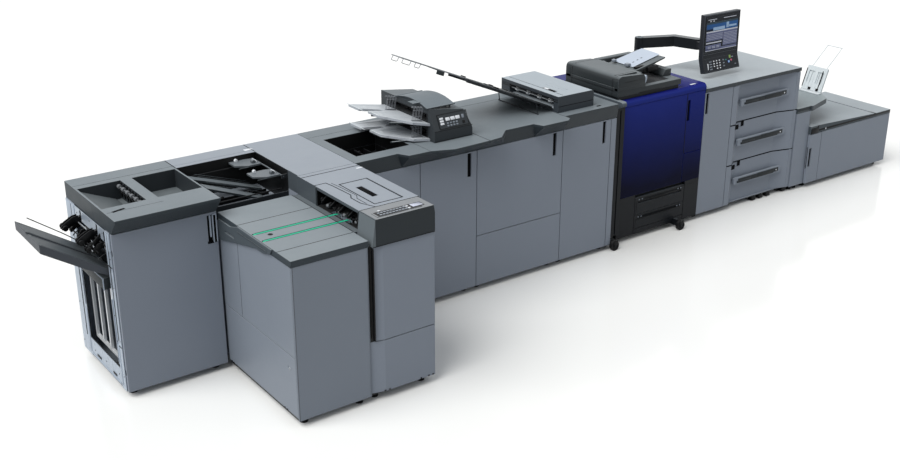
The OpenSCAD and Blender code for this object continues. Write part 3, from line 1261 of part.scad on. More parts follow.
// Operation panel on its swivelling arm
mast_in = [35, 112];
post = [x_fdr - mast_in.x, eng_y1 - mast_in.y];
post_r = 34;
post_h = 206;
arm_plan_shares = [[0, 0], [0.81, 0.38], [1, 1]];
arm_reach = [310, -340];
arm_t = [60, 76];
tilt_r = 28;
tilt_pin_r = 8;
tilt_z = 1196;
ear_t = 10;
tilt_x = post.x + arm_reach.x;
tilt_y = post.y + arm_reach.y;
module panel_arm() color(c_black) {
  z1 = eng_h + post_h;
  p = [for (s = arm_plan_shares) [post.x + s.x * arm_reach.x, post.y + s.y * (arm_reach.y + arm_t.x)]];
  bar_z([post.x, post.y, eng_h + rest_gap], post_r, post_h - rest_gap);
  run_z(z1 - arm_t.y, z1) {
    for (i = [0, 1]) {
      d = p[i + 1] - p[i];
      translate(p[i]) rotate(atan2(d.y, d.x)) translate([0, -arm_t.x / 2]) square([norm(d), arm_t.x]);
    }
    for (q = p) translate(q) circle(r = arm_t.x / 2 + cut, $fn = 64);
  }
  slab([tilt_x - arm_t.x / 2 + skin_t, tilt_y, tilt_z - tilt_r + skin_t],
       [tilt_x + arm_t.x / 2 - skin_t, p[2].y, tilt_z + tilt_r - skin_t]);
  bar_x([tilt_x - arm_t.x / 2, tilt_y, tilt_z], tilt_r, arm_t.x);
  bar_x([tilt_x - arm_t.x / 2 - ear_t - rest_gap, tilt_y, tilt_z], tilt_pin_r,
        arm_t.x + 2 * ear_t + 2 * rest_gap);
}
pnl_over = 205;
pnl_x0 = post.x + pnl_over;
pnl_knee = [255, 1130];
pnl_lean = 6;
pnl_t = 35;
pnl_toe = [222, 1028];
pnl_toe_t = 36;
screen_shares = [[0.1, 0.2], [0.9, 0.9]];
key_cols_share = [0.30, 0.38, 0.46];
key_rows_share = [0.2, 0.37, 0.54, 0.71];
key_size = [22, 14];
key_h = 2;
start_share = [0.72, 0.5];
start_r = 11;
start_h = 7;
start_travel = 2;
pnl_screen_l = sqrt(pow(pnl_lean, 2) + pow(pnl_h, 2));
pnl_pad = pnl_knee - pnl_toe;
start_at = [start_share.x * pnl_w, start_share.y * norm(pnl_pad)];
module on_keypad()
  translate([pnl_x0, pnl_toe.x, pnl_toe.y]) rotate([atan2(pnl_pad.y, pnl_pad.x), 0, 0]) children();
module on_screen()
  translate([pnl_x0, pnl_knee.x, pnl_knee.y]) rotate([atan2(pnl_h, pnl_lean), 0, 0]) children();
module operation_panel() color(c_black) {
  top = pnl_knee + [pnl_lean, pnl_h];
  back = pnl_t * [pnl_h, -pnl_lean] / pnl_screen_l;
  difference() {
    run_x(pnl_x0, pnl_x0 + pnl_w)
      polygon([pnl_knee, top, top + back, pnl_knee + back, pnl_toe + [pnl_toe_t, -lid_t], pnl_toe]);
    on_keypad() bar_z([start_at.x, start_at.y, -start_h], start_r + rest_gap, 2 * start_h);
  }
  on_screen() slab([screen_shares[0].x * pnl_w, screen_shares[0].y * pnl_screen_l, -cut],
                   [screen_shares[1].x * pnl_w, screen_shares[1].y * pnl_screen_l, key_h]);
  on_keypad() for (x = key_cols_share, y = key_rows_share)
    slab([x * pnl_w - key_size.x / 2, y * norm(pnl_pad) - key_size.y / 2, -cut],
         [x * pnl_w + key_size.x / 2, y * norm(pnl_pad) + key_size.y / 2, key_h]);
  slope = pnl_lean / pnl_h;
  for (x = [tilt_x - arm_t.x / 2 - ear_t - rest_gap, tilt_x + arm_t.x / 2 + rest_gap]) difference() {
    run_x(x, x + ear_t) union() {
      translate([tilt_y, tilt_z]) circle(r = 2 * tilt_pin_r, $fn = 64);
      polygon([[tilt_y, tilt_z - 2 * tilt_pin_r], [tilt_y, tilt_z + 2 * tilt_pin_r],
               for (z = [tilt_z + 2 * tilt_pin_r, tilt_z - 2 * tilt_pin_r])
                 [pnl_knee.x + back.x - cut + (z - pnl_knee.y - back.y) * slope, z]]);
    }
    bar_x([x - cut, tilt_y, tilt_z], tilt_pin_r + pin_fit, ear_t + 2 * cut);
  }
}
module start_key() color(c_blue) on_keypad()
  bar_z([start_at.x, start_at.y, start_travel + rest_gap - start_h], start_r, start_h);

// Paper feeder with three drawers beside a narrow door
fdr_y0 = 43;
fdr_face = fdr_y0 + face_y;
fdr_plate_t = 26;
fdr_top = fdr_h - fdr_plate_t;
drw_gap = 8;
drw_x = [x_fdr + drw_gap + fdr_door_w, x_lnk - seam];
fdr_back_in = 2;
drw_z = [[665, 955], [356, 659], [42, 350]];
drw_face_d = 67;
drw_side = 18;
hollow_shares = [[0.07, 0], [0.16, 1], [0.75, 1], [0.955, 0.07]];
drw_bin_d = 480;
drw_bin_share = 0.62;
module drawer_hollow(z0, z1) {
  w = drw_x[1] - drw_x[0];
  y = fdr_y0;
  run_z(z0, z1)
    polygon([[drw_x[0] + hollow_shares[0].x * w, y - cut],
             each [for (s = hollow_shares) [drw_x[0] + s.x * w, y + s.y * hollow_d]],
             [drw_x[0] + hollow_shares[3].x * w, y - cut]]);
}
module feeder_cabinet() {
  color(c_light) difference() {
    union() {
      slab([x_fdr, fdr_face, skirt_h], [x_lnk, row_d - fdr_back_in, fdr_top]);
      door_lugs(x_fdr + seam / 2, x_fdr + seam / 2 + fdr_door_w, fdr_y0, drw_z[2][0], fdr_top - skin_t, 1);
    }
    slab([x_fdr + wall, fdr_face - cut, drw_z[2][0] + wall],
         [x_fdr + fdr_door_w - wall, fdr_face + bay_d, fdr_top - 2 * wall]);
    bin_back = fdr_y0 + drw_face_d + drw_bin_d;
    for (z = drw_z) slab([drw_x[0] + drw_side - slide_gap, fdr_face - cut, z[0] - rest_gap],
                         [drw_x[1] - drw_side + slide_gap, bin_back + slide_gap, z[1] + slide_gap]);
    drawer_hollow(drw_z[2][0], drw_z[0][1]);
    slab([x_fdr + wall, fdr_face + bay_d + wall, drw_z[2][0] + wall],
         [x_fdr + fdr_door_w - wall, row_d - 2 * wall, fdr_top - wall]);
  }
  color(c_top) slab([x_fdr + seam / 2, fdr_y0 - skin_t, fdr_top], [x_lnk, row_d, fdr_h]);
}
fdr_grip_drop = 11;
module feeder_door() color(c_light)
  door_leaf(x_fdr + seam / 2, x_fdr + seam / 2 + fdr_door_w, fdr_y0, drw_z[2][0], fdr_top - skin_t, 1,
            [x_fdr + seam + grip_w - wall, fdr_top - fdr_grip_drop]);
handle_x = 102;
handle_y = [48, 66];
handle_r = 9;
handle_z_shares = [0.43, 0.43, 0.46];
post_in = 40;
module drawer(i) color(c_light) {
  z0 = drw_z[i][0];
  z1 = drw_z[i][1];
  back = fdr_y0 + drw_face_d;
  difference() {
    union() {
      slab([drw_x[0], fdr_y0, z0], [drw_x[1], fdr_y0 + door_t, z1]);
      slab([drw_x[0] + drw_side, fdr_y0 + door_t - cut, z0], [drw_x[1] - drw_side, back, z1]);
    }
    drawer_hollow(z0 - cut, z1 + cut);
  }
  bin_top = z0 + drw_bin_share * (z1 - z0);
  difference() {
    slab([drw_x[0] + drw_side, back, z0], [drw_x[1] - drw_side, back + drw_bin_d, bin_top]);
    slab([drw_x[0] + drw_side + wall, back + wall, z0 + wall],
         [drw_x[1] - drw_side - wall, back + drw_bin_d - wall, bin_top + cut]);
  }
  hz = z0 + handle_z_shares[i] * (z1 - z0);
  hx = drw_x[0] + handle_x;
  color(c_dark) {
    run_y(handle_y[0], handle_y[1]) round_rect([hx, hz], [hx + handle_w, hz + handle_h], handle_r);
    for (x = [hx + post_in, hx + handle_w - 2 * post_in])
      slab([x, handle_y[1] - cut, hz + handle_r], [x + post_in, fdr_y0 + hollow_d, hz + handle_h - handle_r]);
  }
}
module top_drawer() drawer(0);
module middle_drawer() drawer(1);
module bottom_drawer() drawer(2);

// Link with the bypass plateau over the large paper unit
lnk_y = [34, 650];
lnk_trim = 28;
plateau_t = 39;
plateau_shares = [[0, -0.015], [0.05, -0.015], [0.75, 0.102], [1, 0.29], [0.97, 0.67], [0, 0.67]];
plateau_w = 348;
module bypass_unit() {
  color(c_light) difference() {
    slab([x_lnk, lnk_y[0], skirt_h], [x_lcu, lnk_y[1], link_h - lnk_trim]);
    slab([x_lnk + wall, lnk_y[0] + wall, skirt_h + wall],
         [x_lcu - wall, lnk_y[1] - wall, link_h - lnk_trim - wall]);
  }
  color(c_top) slab([x_lnk, lnk_y[0], link_h - lnk_trim], [x_lcu, lnk_y[1], link_h]);
  color(c_top) run_z(link_h - plateau_t, link_h)
    polygon(spots([x_lcu, lnk_y[0]], [x_lcu + plateau_w, lnk_y[1]], plateau_shares));
}
byp_in = 330;
byp_x = x_lcu + byp_in;
byp_y = [204, 395];
byp_lean = 65;
byp_h = 180;
byp_t = 14;
byp_slot_shares = [[[0.12, 0.3], [0.42, 0.8]], [[0.58, 0.3], [0.88, 0.8]]];
stop_reach = 170;
stop_rise = 140;
module bypass_tray() color(c_light) {
  z = link_h + barrel_r + rest_gap;
  l = sqrt(byp_lean * byp_lean + byp_h * byp_h);
  translate([byp_x, 0, z]) rotate([0, atan2(byp_lean, byp_h), 0]) difference() {
    slab([barrel_r - cut - byp_t, byp_y[0] + cut, 0], [barrel_r - cut, byp_y[1] - cut, l]);
    for (s = byp_slot_shares)
      slab([barrel_r - byp_t - 2 * cut, byp_y[0] + s[0].x * (byp_y[1] - byp_y[0]), s[0].y * l],
           [barrel_r - byp_t / 2, byp_y[0] + s[1].x * (byp_y[1] - byp_y[0]), s[1].y * l]);
  }
  bar_y([byp_x, byp_y[0], z], barrel_r, byp_y[1] - byp_y[0]);
  a = [byp_x + byp_lean - byp_t / 2, z + byp_h - byp_t];
  b = [byp_x + byp_lean + stop_reach, z + byp_h + stop_rise];
  for (y = [byp_y[0] + 2 * byp_t, byp_y[1] - 2 * byp_t]) strut([a.x, y, a.y], [b.x, y, b.y], wire_r);
  strut([b.x, byp_y[0] + 2 * byp_t - wire_r, b.y], [b.x, byp_y[1] - 2 * byp_t + wire_r, b.y], wire_r);
}

// Low large paper unit
lcu_y0 = 10;
lcu_face = lcu_y0 + face_y;
lcu_y1 = 656;
lcu_z1 = 440;
lcu_lid_in = [93, 798];
lcu_lid_x = along(x_lcu, lcu_lid_in);
lcu_nose_r = 8;
lcu_drop = 30;
lcu_door_w = 135;
lcu_door_x = [x_lcu + seam / 2, x_lcu + lcu_door_w];
lcu_bin_share = 0.25;
module large_unit_cabinet() {
  color(c_light) {
    difference() {
      union() {
        slab([x_lcu, lcu_face, skirt_h], [x_end, lcu_y1, lcu_z1]);
        door_lugs(lcu_door_x[0], lcu_door_x[1], lcu_y0, door_z0, lcu_z1 - seam, 1);
      }
      slab([lcu_lid_x[0] + 2 * wall, lcu_face + 2 * wall, skirt_h + lcu_bin_share * lcu_z1],
           [lcu_lid_x[1] - 2 * wall, lcu_y1 - 2 * wall, lcu_z1 + cut]);
      slab([x_lcu + wall, lcu_face - cut, door_z0 + wall],
           [lcu_lid_x[0] + wall, lcu_face + bay_d / 2, lcu_z1 - 2 * wall]);
    }
    slab([lcu_door_x[1] + seam, lcu_y0, door_z0], [x_end - seam / 2, lcu_face, lcu_z1 - plate_t]);
  }
  color(c_top) {
    slab([x_lcu, lcu_y0, lcu_z1], [lcu_lid_x[0] - plate_t, lcu_y1, lcu_h]);
    slab([lcu_lid_x[1] + plate_t, lcu_y0, lcu_z1], [x_end, lcu_y1, lcu_h - lcu_drop]);
  }
}
module large_unit_lid() color(c_top) difference() {
  nose = [lcu_lid_x[1] - lcu_nose_r, lcu_h - lcu_drop - lcu_nose_r];
  run_y(lcu_y0, lcu_y1) difference() {
    polygon([[lcu_lid_x[0], lcu_z1 + rest_gap], [lcu_lid_x[1] - 5 * lcu_nose_r, lcu_z1 + rest_gap],
             [lcu_lid_x[1], lcu_z1 + skin_t], [lcu_lid_x[1], lcu_h - lcu_drop], [lcu_lid_x[0], lcu_h]]);
    difference() {
      translate(nose) square(2 * lcu_nose_r);
      translate(nose) circle(r = lcu_nose_r, $fn = 48);
    }
  }
  slab([lcu_lid_x[0] + 2 * wall, lcu_y0 + 3 * wall, lcu_z1 - cut],
       [lcu_lid_x[1] - 7 * wall, lcu_y1 - 2 * wall, lcu_h - lcu_drop - wall]);
}
lcu_grip = [33, 325];
module large_unit_door() color(c_light)
  door_leaf(lcu_door_x[0], lcu_door_x[1], lcu_y0, door_z0, lcu_z1 - seam, 1,
            [lcu_door_x[0] + 2 * skin_t + grip_w / 2, lcu_grip[1]]);

// Levelling feet under each cabinet
foot_r = 22;
foot_t = 10;
stem_r = 8;
foot_in = 50;
feet_boxes = [[0, fin_w, face_y, row_d], [x_brg, x_stc, brg_pit_y[0], row_d],
              [twr_x0, x_fld, twr_front, row_d],
              [tbl_x0 + wall, twr_x0, tbl_front + wall, tbl_back], [x_fld, x_stk, face_y, row_d],
              [x_stk, x_rly, face_y, row_d], [x_rly, x_eng, face_y, row_d],
              [x_fdr, x_lnk, fdr_face, row_d - fdr_back_in],
              [x_lnk, x_lcu, lnk_y[0], lnk_y[1]], [x_lcu, x_end, lcu_face, lcu_y1]];
module levelling_feet() color(c_black)
for (b = feet_boxes, x = [b[0] + foot_in, b[1] - foot_in], y = [b[2] + foot_in, b[3] - foot_in]) {
  bar_z([x, y, 0], foot_r, foot_t);
  bar_z([x, y, foot_t - cut], stem_r, skirt_h - foot_t + cut);
}

// The row's frame: centred over its plan, on the floor
row_mid_y = (eng_y1 - stc_reach) / 2;
module placed() translate([-row_mid_x, -row_mid_y, 0]) children();

placed() finisher_cabinet();
placed() finisher_top_cover();
placed() finisher_door();
placed() tray_lift_frame();
placed() stack_tray();
placed() hold_down_arm();
placed() pit_exit_rollers();
placed() bridge_cabinet();
placed() bridge_guide_arms();
placed() stitcher_cabinet();
placed() stitcher_jam_cover();
placed() stitcher_console();
placed() stitcher_door();
placed() table_cabinet();
placed() table_top();
placed() conveyor_belts();
placed() belt_drive_shaft();
placed() side_flap();
placed() folder_cabinet();
placed() folder_top_cover();
placed() folder_door();
placed() inserter_body();
placed() inserter_lid();
placed() inserter_trays();
placed() front_sheet_guides();
placed() rear_sheet_guides();
placed() stacker_cabinet();
placed() stacker_top_cover();
placed() stacker_door();
placed() relay_cabinet();
placed() relay_door();
placed() banner_unit();
placed() banner_rollers();
placed() banner_tray();
placed() banner_wire();
placed() engine_frame();
placed() engine_covers();
placed() engine_main_door();
placed() toner_door();
placed() imaging_units();
placed() upper_cassette();
placed() lower_cassette();
placed() left_caster_wheels();
placed() right_caster_wheels();
placed() document_feeder();
placed() feed_cover();
placed() panel_arm();
placed() operation_panel();
placed() start_key();
placed() feeder_cabinet();
placed() feeder_door();
placed() top_drawer();
placed() middle_drawer();
placed() bottom_drawer();
placed() bypass_unit();
placed() bypass_tray();
placed() large_unit_cabinet();
placed() large_unit_lid();
placed() large_unit_door();
placed() levelling_feet();
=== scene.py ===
import math
import bpy
import bmesh
from mathutils import Matrix, Vector


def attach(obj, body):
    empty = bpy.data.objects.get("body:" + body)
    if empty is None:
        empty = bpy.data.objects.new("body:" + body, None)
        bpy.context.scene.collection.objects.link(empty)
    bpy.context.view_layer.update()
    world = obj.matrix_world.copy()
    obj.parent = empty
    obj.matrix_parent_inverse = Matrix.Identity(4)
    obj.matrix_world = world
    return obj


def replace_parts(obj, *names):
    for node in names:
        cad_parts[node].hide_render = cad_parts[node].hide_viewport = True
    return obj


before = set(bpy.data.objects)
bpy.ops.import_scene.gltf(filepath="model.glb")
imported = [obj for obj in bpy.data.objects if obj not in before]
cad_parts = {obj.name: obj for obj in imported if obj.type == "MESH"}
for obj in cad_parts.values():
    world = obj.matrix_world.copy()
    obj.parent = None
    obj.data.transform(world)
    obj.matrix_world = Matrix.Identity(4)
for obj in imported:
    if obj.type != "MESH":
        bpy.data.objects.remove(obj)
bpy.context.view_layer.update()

# Lengths in the making of pieces are millimetres along the row: x from the finisher's left face, y from the
# door fronts to the back, z from the floor. collect() brings a piece into the CAD frame.
MM = 0.001
TO_FRAME = Matrix.Scale(MM, 4) @ Matrix.Translation((-3088.5, -3.5, 0.0))
ROW_TOP, ROW_BACK, ROW_END = 1041, 660, 6507
FEEDER_BACK, LARGE_UNIT_BACK, ENGINE_BACK = 658, 656, 802
CREASE_ANGLE = math.radians(35)


# Shader nodes and groups
def srgb(colour):
    """An 8-bit screen colour as linear RGBA."""
    def linear(value):
        share = value / 255
        return share / 12.92 if share <= 0.04045 else ((share + 0.055) / 1.055) ** 2.4
    return (*map(linear, colour), 1.0)


def feed(tree, made, inputs):
    """Fills inputs with numbers, colours or sockets, by name (spaces as _) or i0, i1 ... by place."""
    for name, value in inputs.items():
        by_place = name[0] == "i" and name[1:].isdigit()
        target = made.inputs[int(name[1:]) if by_place else name.replace("_", " ")]
        if isinstance(value, bpy.types.NodeSocket):
            tree.links.new(value, target)
        else:
            target.default_value = value
    return made


def put(tree, kind, settings=None, **inputs):
    """Adds a node with its settings and its inputs."""
    made = tree.nodes.new("ShaderNode" + kind)
    for name, value in (settings or {}).items():
        setattr(made, name, value)
    return feed(tree, made, inputs)


def maths(tree, operation, *values, clamp=False):
    """The values taken together by one operation, two at a time."""
    result = values[0]
    for value in values[1:]:
        made = put(tree, "Math", {"operation": operation, "use_clamp": clamp}, i0=result, i1=value)
        result = made.outputs[0]
    return result


def times(tree, *values, clamp=False):
    return maths(tree, "MULTIPLY", *values, clamp=clamp)


def plus(tree, *values, clamp=False):
    return maths(tree, "ADD", *values, clamp=clamp)


def less_half(tree, value):
    return maths(tree, "SUBTRACT", value, 0.5)


def mix_colour(tree, factor, first, second):
    return put(tree, "Mix", {"data_type": "RGBA"}, i0=factor, i6=first, i7=second).outputs[2]


def remap(tree, value, low, high, start=0.0, end=1.0):
    return put(tree, "MapRange", i0=value, i1=low, i2=high, i3=start, i4=end).outputs[0]


def noise(tree, where, scale, detail, rough=0.5, warp=0.0):
    return put(tree, "TexNoise", Vector=where, Scale=scale, Detail=detail, Roughness=rough,
        Distortion=warp).outputs["Fac"]


def vector(tree, operation, first, second=(0, 0, 0), output=0):
    return put(tree, "VectorMath", {"operation": operation}, i0=first, i1=second).outputs[output]


def coordinate(tree, kind="Object"):
    return put(tree, "TexCoord").outputs[kind]


def height_of(tree, direction):
    return put(tree, "SeparateXYZ", i0=direction).outputs[2]


SOCKET_KINDS = {"Color": "Color", "Edge Color": "Color", "Dust Color": "Color", "Middle": "Vector",
    "Half": "Vector", "Stretch": "Vector", "Normal": "Vector"}


def shader_group(name, inputs, outputs):
    """Turns a function that returns what a group's outputs give into that group."""
    def build(rule):
        group = bpy.data.node_groups.new(name, "ShaderNodeTree")
        for direction, titles in (("INPUT", inputs), ("OUTPUT", outputs)):
            for title in titles:
                group.interface.new_socket(name=title, in_out=direction, socket_type="NodeSocket"
                    + SOCKET_KINDS.get(title, "Float"))
        results = rule(group, group.nodes.new("NodeGroupInput").outputs)
        feed(group, group.nodes.new("NodeGroupOutput"), dict(zip(outputs, results)))
        return group
    return build


def use_group(tree, group, **inputs):
    made = tree.nodes.new("ShaderNodeGroup")
    made.node_tree = group
    return feed(tree, made, inputs).outputs


@shader_group("surface_grain", ("Color", "Tone Spread", "Grain Scale", "Roughness", "Rough Spread"),
              ("Color", "Roughness", "Height"))
def grain_group(group, given):
    """Fine grain, broad tone drift and soft handling smudges of a painted or moulded surface."""
    where = coordinate(group)
    fine = noise(group, where, given["Grain Scale"], 3.0, 0.6)
    drift = less_half(group, noise(group, where, 2.2, 4.0))
    speck = times(group, less_half(group, fine), 0.5)
    level = plus(group, times(group, plus(group, drift, speck), given["Tone Spread"], 2.0), 1.0)
    toned = put(group, "VectorMath", {"operation": "SCALE"}, i0=given["Color"], Scale=level)
    smudge = less_half(group, noise(group, where, 11.0, 5.0, 0.6, 0.8))
    rough = times(group, smudge, given["Rough Spread"], 2.0)
    return toned.outputs[0], plus(group, rough, given["Roughness"], clamp=True), fine


@shader_group("edge_wear", ("Color", "Edge Color", "Radius", "Amount"), ("Color", "Normal"))
def wear_group(group, given):
    """Softly rounded, slightly polished edges: the bevelled normal, and a paler tone where it turns, partly
    rubbed by use and partly a painted highlight.
    """
    round_edge = put(group, "Bevel", {"samples": 4}, Radius=given["Radius"]).outputs[0]
    flat = put(group, "NewGeometry").outputs["Normal"]
    near = remap(group, vector(group, "DOT_PRODUCT", round_edge, flat, "Value"), 0.995, 0.86)
    broken = remap(group, noise(group, coordinate(group), 38.0, 4.0, 0.65), 0.36, 0.62, 0.25)
    mask = times(group, near, broken, given["Amount"], clamp=True)
    return mix_colour(group, mask, given["Color"], given["Edge Color"]), round_edge


@shader_group("settled_dust", ("Color", "Dust Color", "Amount"), ("Color", "Mask"))
def dust_group(group, given):
    """A thin pale film on faces that look up."""
    up = remap(group, height_of(group, coordinate(group, "Normal")), 0.5, 1.0)
    cloud = remap(group, noise(group, coordinate(group), 5.0, 6.0, 0.7), 0.3, 0.7, 0.2)
    mask = times(group, up, cloud, given["Amount"], clamp=True)
    return mix_colour(group, mask, given["Color"], given["Dust Color"]), mask


@shader_group("box_mask", ("Middle", "Half"), ("Mask",))
def box_group(group, given):
    """1 inside a box given by its middle and half size, 0 outside."""
    away = vector(group, "ABSOLUTE", vector(group, "SUBTRACT", coordinate(group), given["Middle"]))
    parts = put(group, "SeparateXYZ", i0=vector(group, "SUBTRACT", away, given["Half"])).outputs
    return [maths(group, "LESS_THAN", maths(group, "MAXIMUM", *parts), 0.0)]


@shader_group("brushed_streaks", ("Stretch",), ("Value",))
def streak_group(group, given):
    """Long fine lines along one direction, as on brushed or drawn metal."""
    return [noise(group, vector(group, "MULTIPLY", coordinate(group), given["Stretch"]), 1.0, 4.0, 0.7)]


@shader_group("painted_top_light", (), ("Mask",))
def painted_top_light_group(group, given):
    """Painted top light: 1 on faces that look up, 0 on upright ones, the mask of a lighter tone painted where
    light falls on tops.
    """
    return [remap(group, height_of(group, coordinate(group, "Normal")), 0.5, 0.95)]


@shader_group("height_grade", ("Low", "High"), ("Mask",))
def grade_group(group, given):
    """0 at the low level and 1 at the high one, with a little drift."""
    where = coordinate(group)
    drift = times(group, less_half(group, noise(group, where, 2.6, 3.0)), 0.16)
    return [remap(group, plus(group, height_of(group, where), drift), given["Low"], given["High"])]


# Materials
PALE_EDGE, DUST_TONE = (0.6, 0.63, 0.67, 1), (0.62, 0.63, 0.64, 1)


def finish_material(name, colour, rough, grain, bump, tone, rough_spread=0.08, edge=None, wear=0.35,
                    radius=0.0015, dust=0.0, metallic=0.0, specular=0.3, coat=0.0, coat_rough=0.1,
                    streaks=None, top=None, grade=None, zones=(), slot="white_roller"):
    """A material of this printer, with its colours as 8-bit ones. top is the tone of faces that look up,
    grade a (low z, high z, colour) and zones are (low corner, high corner, colour) in row millimetres. A
    zone's colour may be a pair, for its upright faces and for those that look up. slot is not used."""
    made = bpy.data.materials.new(name)
    made.use_nodes = True
    tree = made.node_tree

    # Painted top light: a lighter tone on faces that look up, where light falls from above.
    def painted_top_light(side, above):
        return mix_colour(tree, use_group(tree, painted_top_light_group)["Mask"], side, srgb(above))

    base = srgb(colour)
    if grade:
        share = use_group(tree, grade_group, Low=grade[0] * MM, High=grade[1] * MM)["Mask"]
        base = mix_colour(tree, share, base, srgb(grade[2]))
    if top:
        base = painted_top_light(base, top)
    # A zone with a pair of colours paints the second, lighter one on faces that look up, as painted top
    # light.
    for low, high, other in zones:
        low, high = TO_FRAME @ Vector(low), TO_FRAME @ Vector(high)
        inside = use_group(tree, box_group, Middle=(low + high) / 2, Half=(high - low) / 2)["Mask"]
        own = painted_top_light(srgb(other[0]), other[1]) if len(other) == 2 else srgb(other)
        base = mix_colour(tree, inside, base, own)
    grained = use_group(tree, grain_group, Color=base, Tone_Spread=tone, Grain_Scale=grain, Roughness=rough,
        Rough_Spread=rough_spread)
    # Paler edges: partly rubbed by use, partly a painted highlight where light catches them.
    worn_and_highlit = use_group(tree, wear_group, Color=grained["Color"], Edge_Color=srgb(edge) if edge else PALE_EDGE,
        Radius=radius, Amount=wear)
    dusty = use_group(tree, dust_group, Color=worn_and_highlit["Color"], Dust_Color=DUST_TONE, Amount=dust)
    height, roughness = grained["Height"], grained["Roughness"]
    if streaks:
        lines = use_group(tree, streak_group, Stretch=streaks)["Value"]
        height = plus(tree, times(tree, height, 0.3), lines)
        roughness = plus(tree, roughness, times(tree, less_half(tree, lines), 0.25))
    roughness = plus(tree, roughness, times(tree, dusty["Mask"], 0.3), clamp=True)
    raised = put(tree, "Bump", Strength=bump, Distance=0.001, Height=height, Normal=worn_and_highlit["Normal"])
    feed(tree, tree.nodes["Principled BSDF"], {"Base_Color": dusty["Color"], "Roughness": roughness,
        "Normal": raised.outputs[0], "Metallic": metallic, "Specular_IOR_Level": specular,
        "Coat_Weight": coat, "Coat_Roughness": coat_rough})
    return made


def made_of(kind, name, *tones, **other):
    """A material of one of the kinds below: its colour, its painted top light (a lighter tone for faces that
    look up, where light falls) and what else differs.
    """
    return finish_material(name, **{**kind, **dict(zip(("colour", "top"), tones)), **other})


# Kinds of finish. Their top tones are painted top light: lighter copies of their colours for faces that look
# up.
# The tones for tops here are painted top light, lighter where light falls on faces that look up.
PANEL_LIT_TOP, COVER_GREY, COVER_LIT_TOP, DARK_GREY = (143, 151, 161), (45, 52, 57), (112, 121, 127), (40, 46, 50)
# The near-black here is painted shade, for door seams and dark recesses; the band's top tone is painted top
# light.
BLACK, SHADE_BLACK, BAND_GREY, BAND_LIT_TOP = (11, 12, 14), (5, 6, 7), (66, 74, 80), (146, 155, 161)
PAINT = dict(slot="painted_light", colour=(133, 141, 153), top=PANEL_LIT_TOP, rough=0.44, grain=1300, bump=0.05,
    tone=0.035, edge=(166, 174, 184), wear=0.45, radius=0.002, dust=0.03)
COVER = dict(slot="grey_cover", colour=COVER_GREY, top=COVER_LIT_TOP, rough=0.5, grain=1700, bump=0.09, tone=0.06,
    edge=(118, 126, 132), wear=0.45, radius=0.003, dust=0.05, specular=0.22)
DARK = dict(slot="dark_plastic", colour=DARK_GREY, top=(88, 95, 99), rough=0.48, grain=1500, bump=0.1,
    tone=0.07, edge=(96, 103, 108), wear=0.45, radius=0.0025, dust=0.05, specular=0.2)
SOOT = dict(slot="black_plastic", colour=BLACK, top=(26, 28, 31), rough=0.42, grain=1600, bump=0.08, tone=0.1,
    edge=(52, 55, 60), dust=0.03, specular=0.14)
STEEL = dict(slot="steel", colour=(186, 192, 198), rough=0.34, grain=1200, bump=0.03, tone=0.05,
    edge=(214, 218, 222), wear=0.5, radius=0.0012, dust=0.02, metallic=0.75)
GLOSS = dict(slot="blue_gloss", colour=(5, 8, 38), top=(24, 31, 112), grade=(380, 980, (33, 46, 128)),
    rough=0.2, grain=1400, bump=0.012, tone=0.06, rough_spread=0.05, edge=(50, 66, 168), wear=0.5,
    radius=0.004, specular=0.03, coat=0.03, coat_rough=0.04)
RUBBER = dict(rough=0.6, grain=800, bump=0.08, tone=0.05, dust=0.02, edge=(240, 241, 243))
LIGHT = dict(rough=0.3, grain=600, bump=0.02, tone=0.2)
SCREEN = dict(rough=0.2, grain=500, bump=0.01, tone=0.1)
STRAP_TONE = (168, 180, 194)

# Finishes that several nodes and pieces share
paint = made_of(PAINT, "panel_paint")
cover = made_of(COVER, "cover_plastic")
moulded_dark = made_of(DARK, "moulded_dark")
moulded_black = made_of(SOOT, "moulded_black")
gloss_blue = made_of(GLOSS, "gloss_blue")
drawn_wire = made_of(STEEL, "drawn_wire", streaks=(4, 700, 700))
chrome = made_of(STEEL, "bright_rod", (205, 210, 215), streaks=(6, 500, 500))
# Near-black for dark seams and small marks, and painted shade in slots, grip recesses and gaps between parts.
seam_and_shade_black = made_of(SOOT, "seam_and_shade_black", (6, 7, 9), None, rough=0.7, grain=1200, bump=0.05, tone=0.15,
    dust=0.0, edge=(16, 17, 20), wear=0.3, specular=0.05)
white_rubber = made_of(RUBBER, "white_rubber", (216, 221, 226))
roller_grey = made_of(RUBBER, "roller_grey", (104, 108, 112), tone=0.08, edge=(170, 172, 176), slot="steel")
tyre_rubber = made_of(RUBBER, "tyre_rubber", (16, 16, 18), grain=700, bump=0.12, tone=0.12, edge=(60, 60, 62),
    wear=0.5, dust=0.06, specular=0.15)
belt_rubber = made_of(RUBBER, "belt_rubber", (34, 182, 144), grain=500, bump=0.12, tone=0.1, dust=0.03,
    edge=(96, 202, 176))
comb_wire = finish_material("comb_wire", (128, 132, 138), 0.35, 900, 0.02, 0.08, edge=(190, 194, 198),
    radius=0.0005, dust=0.06, metallic=0.4, slot="steel")
screw_zinc = finish_material("screw_zinc", (58, 63, 68), 0.36, 1500, 0.03, 0.1, edge=(150, 155, 160),
    wear=0.6, radius=0.0006, dust=0.06, metallic=0.5, slot="steel")
rail_metal = finish_material("lift_rail_metal", (226, 230, 234), 0.3, 900, 0.02, 0.06, edge=(240, 240, 236),
    dust=0.06, metallic=0.25, streaks=(80, 80, 2), slot="steel",
    zones=[((-5, 20, 0), (0.5, 700, 1000), STRAP_TONE)])
strap_paint = made_of(PAINT, "strap_paint", STRAP_TONE, None, slot="steel")
rail_paint = made_of(PAINT, "rail_cover_paint", (62, 69, 76), (104, 112, 119), slot="grey_cover")
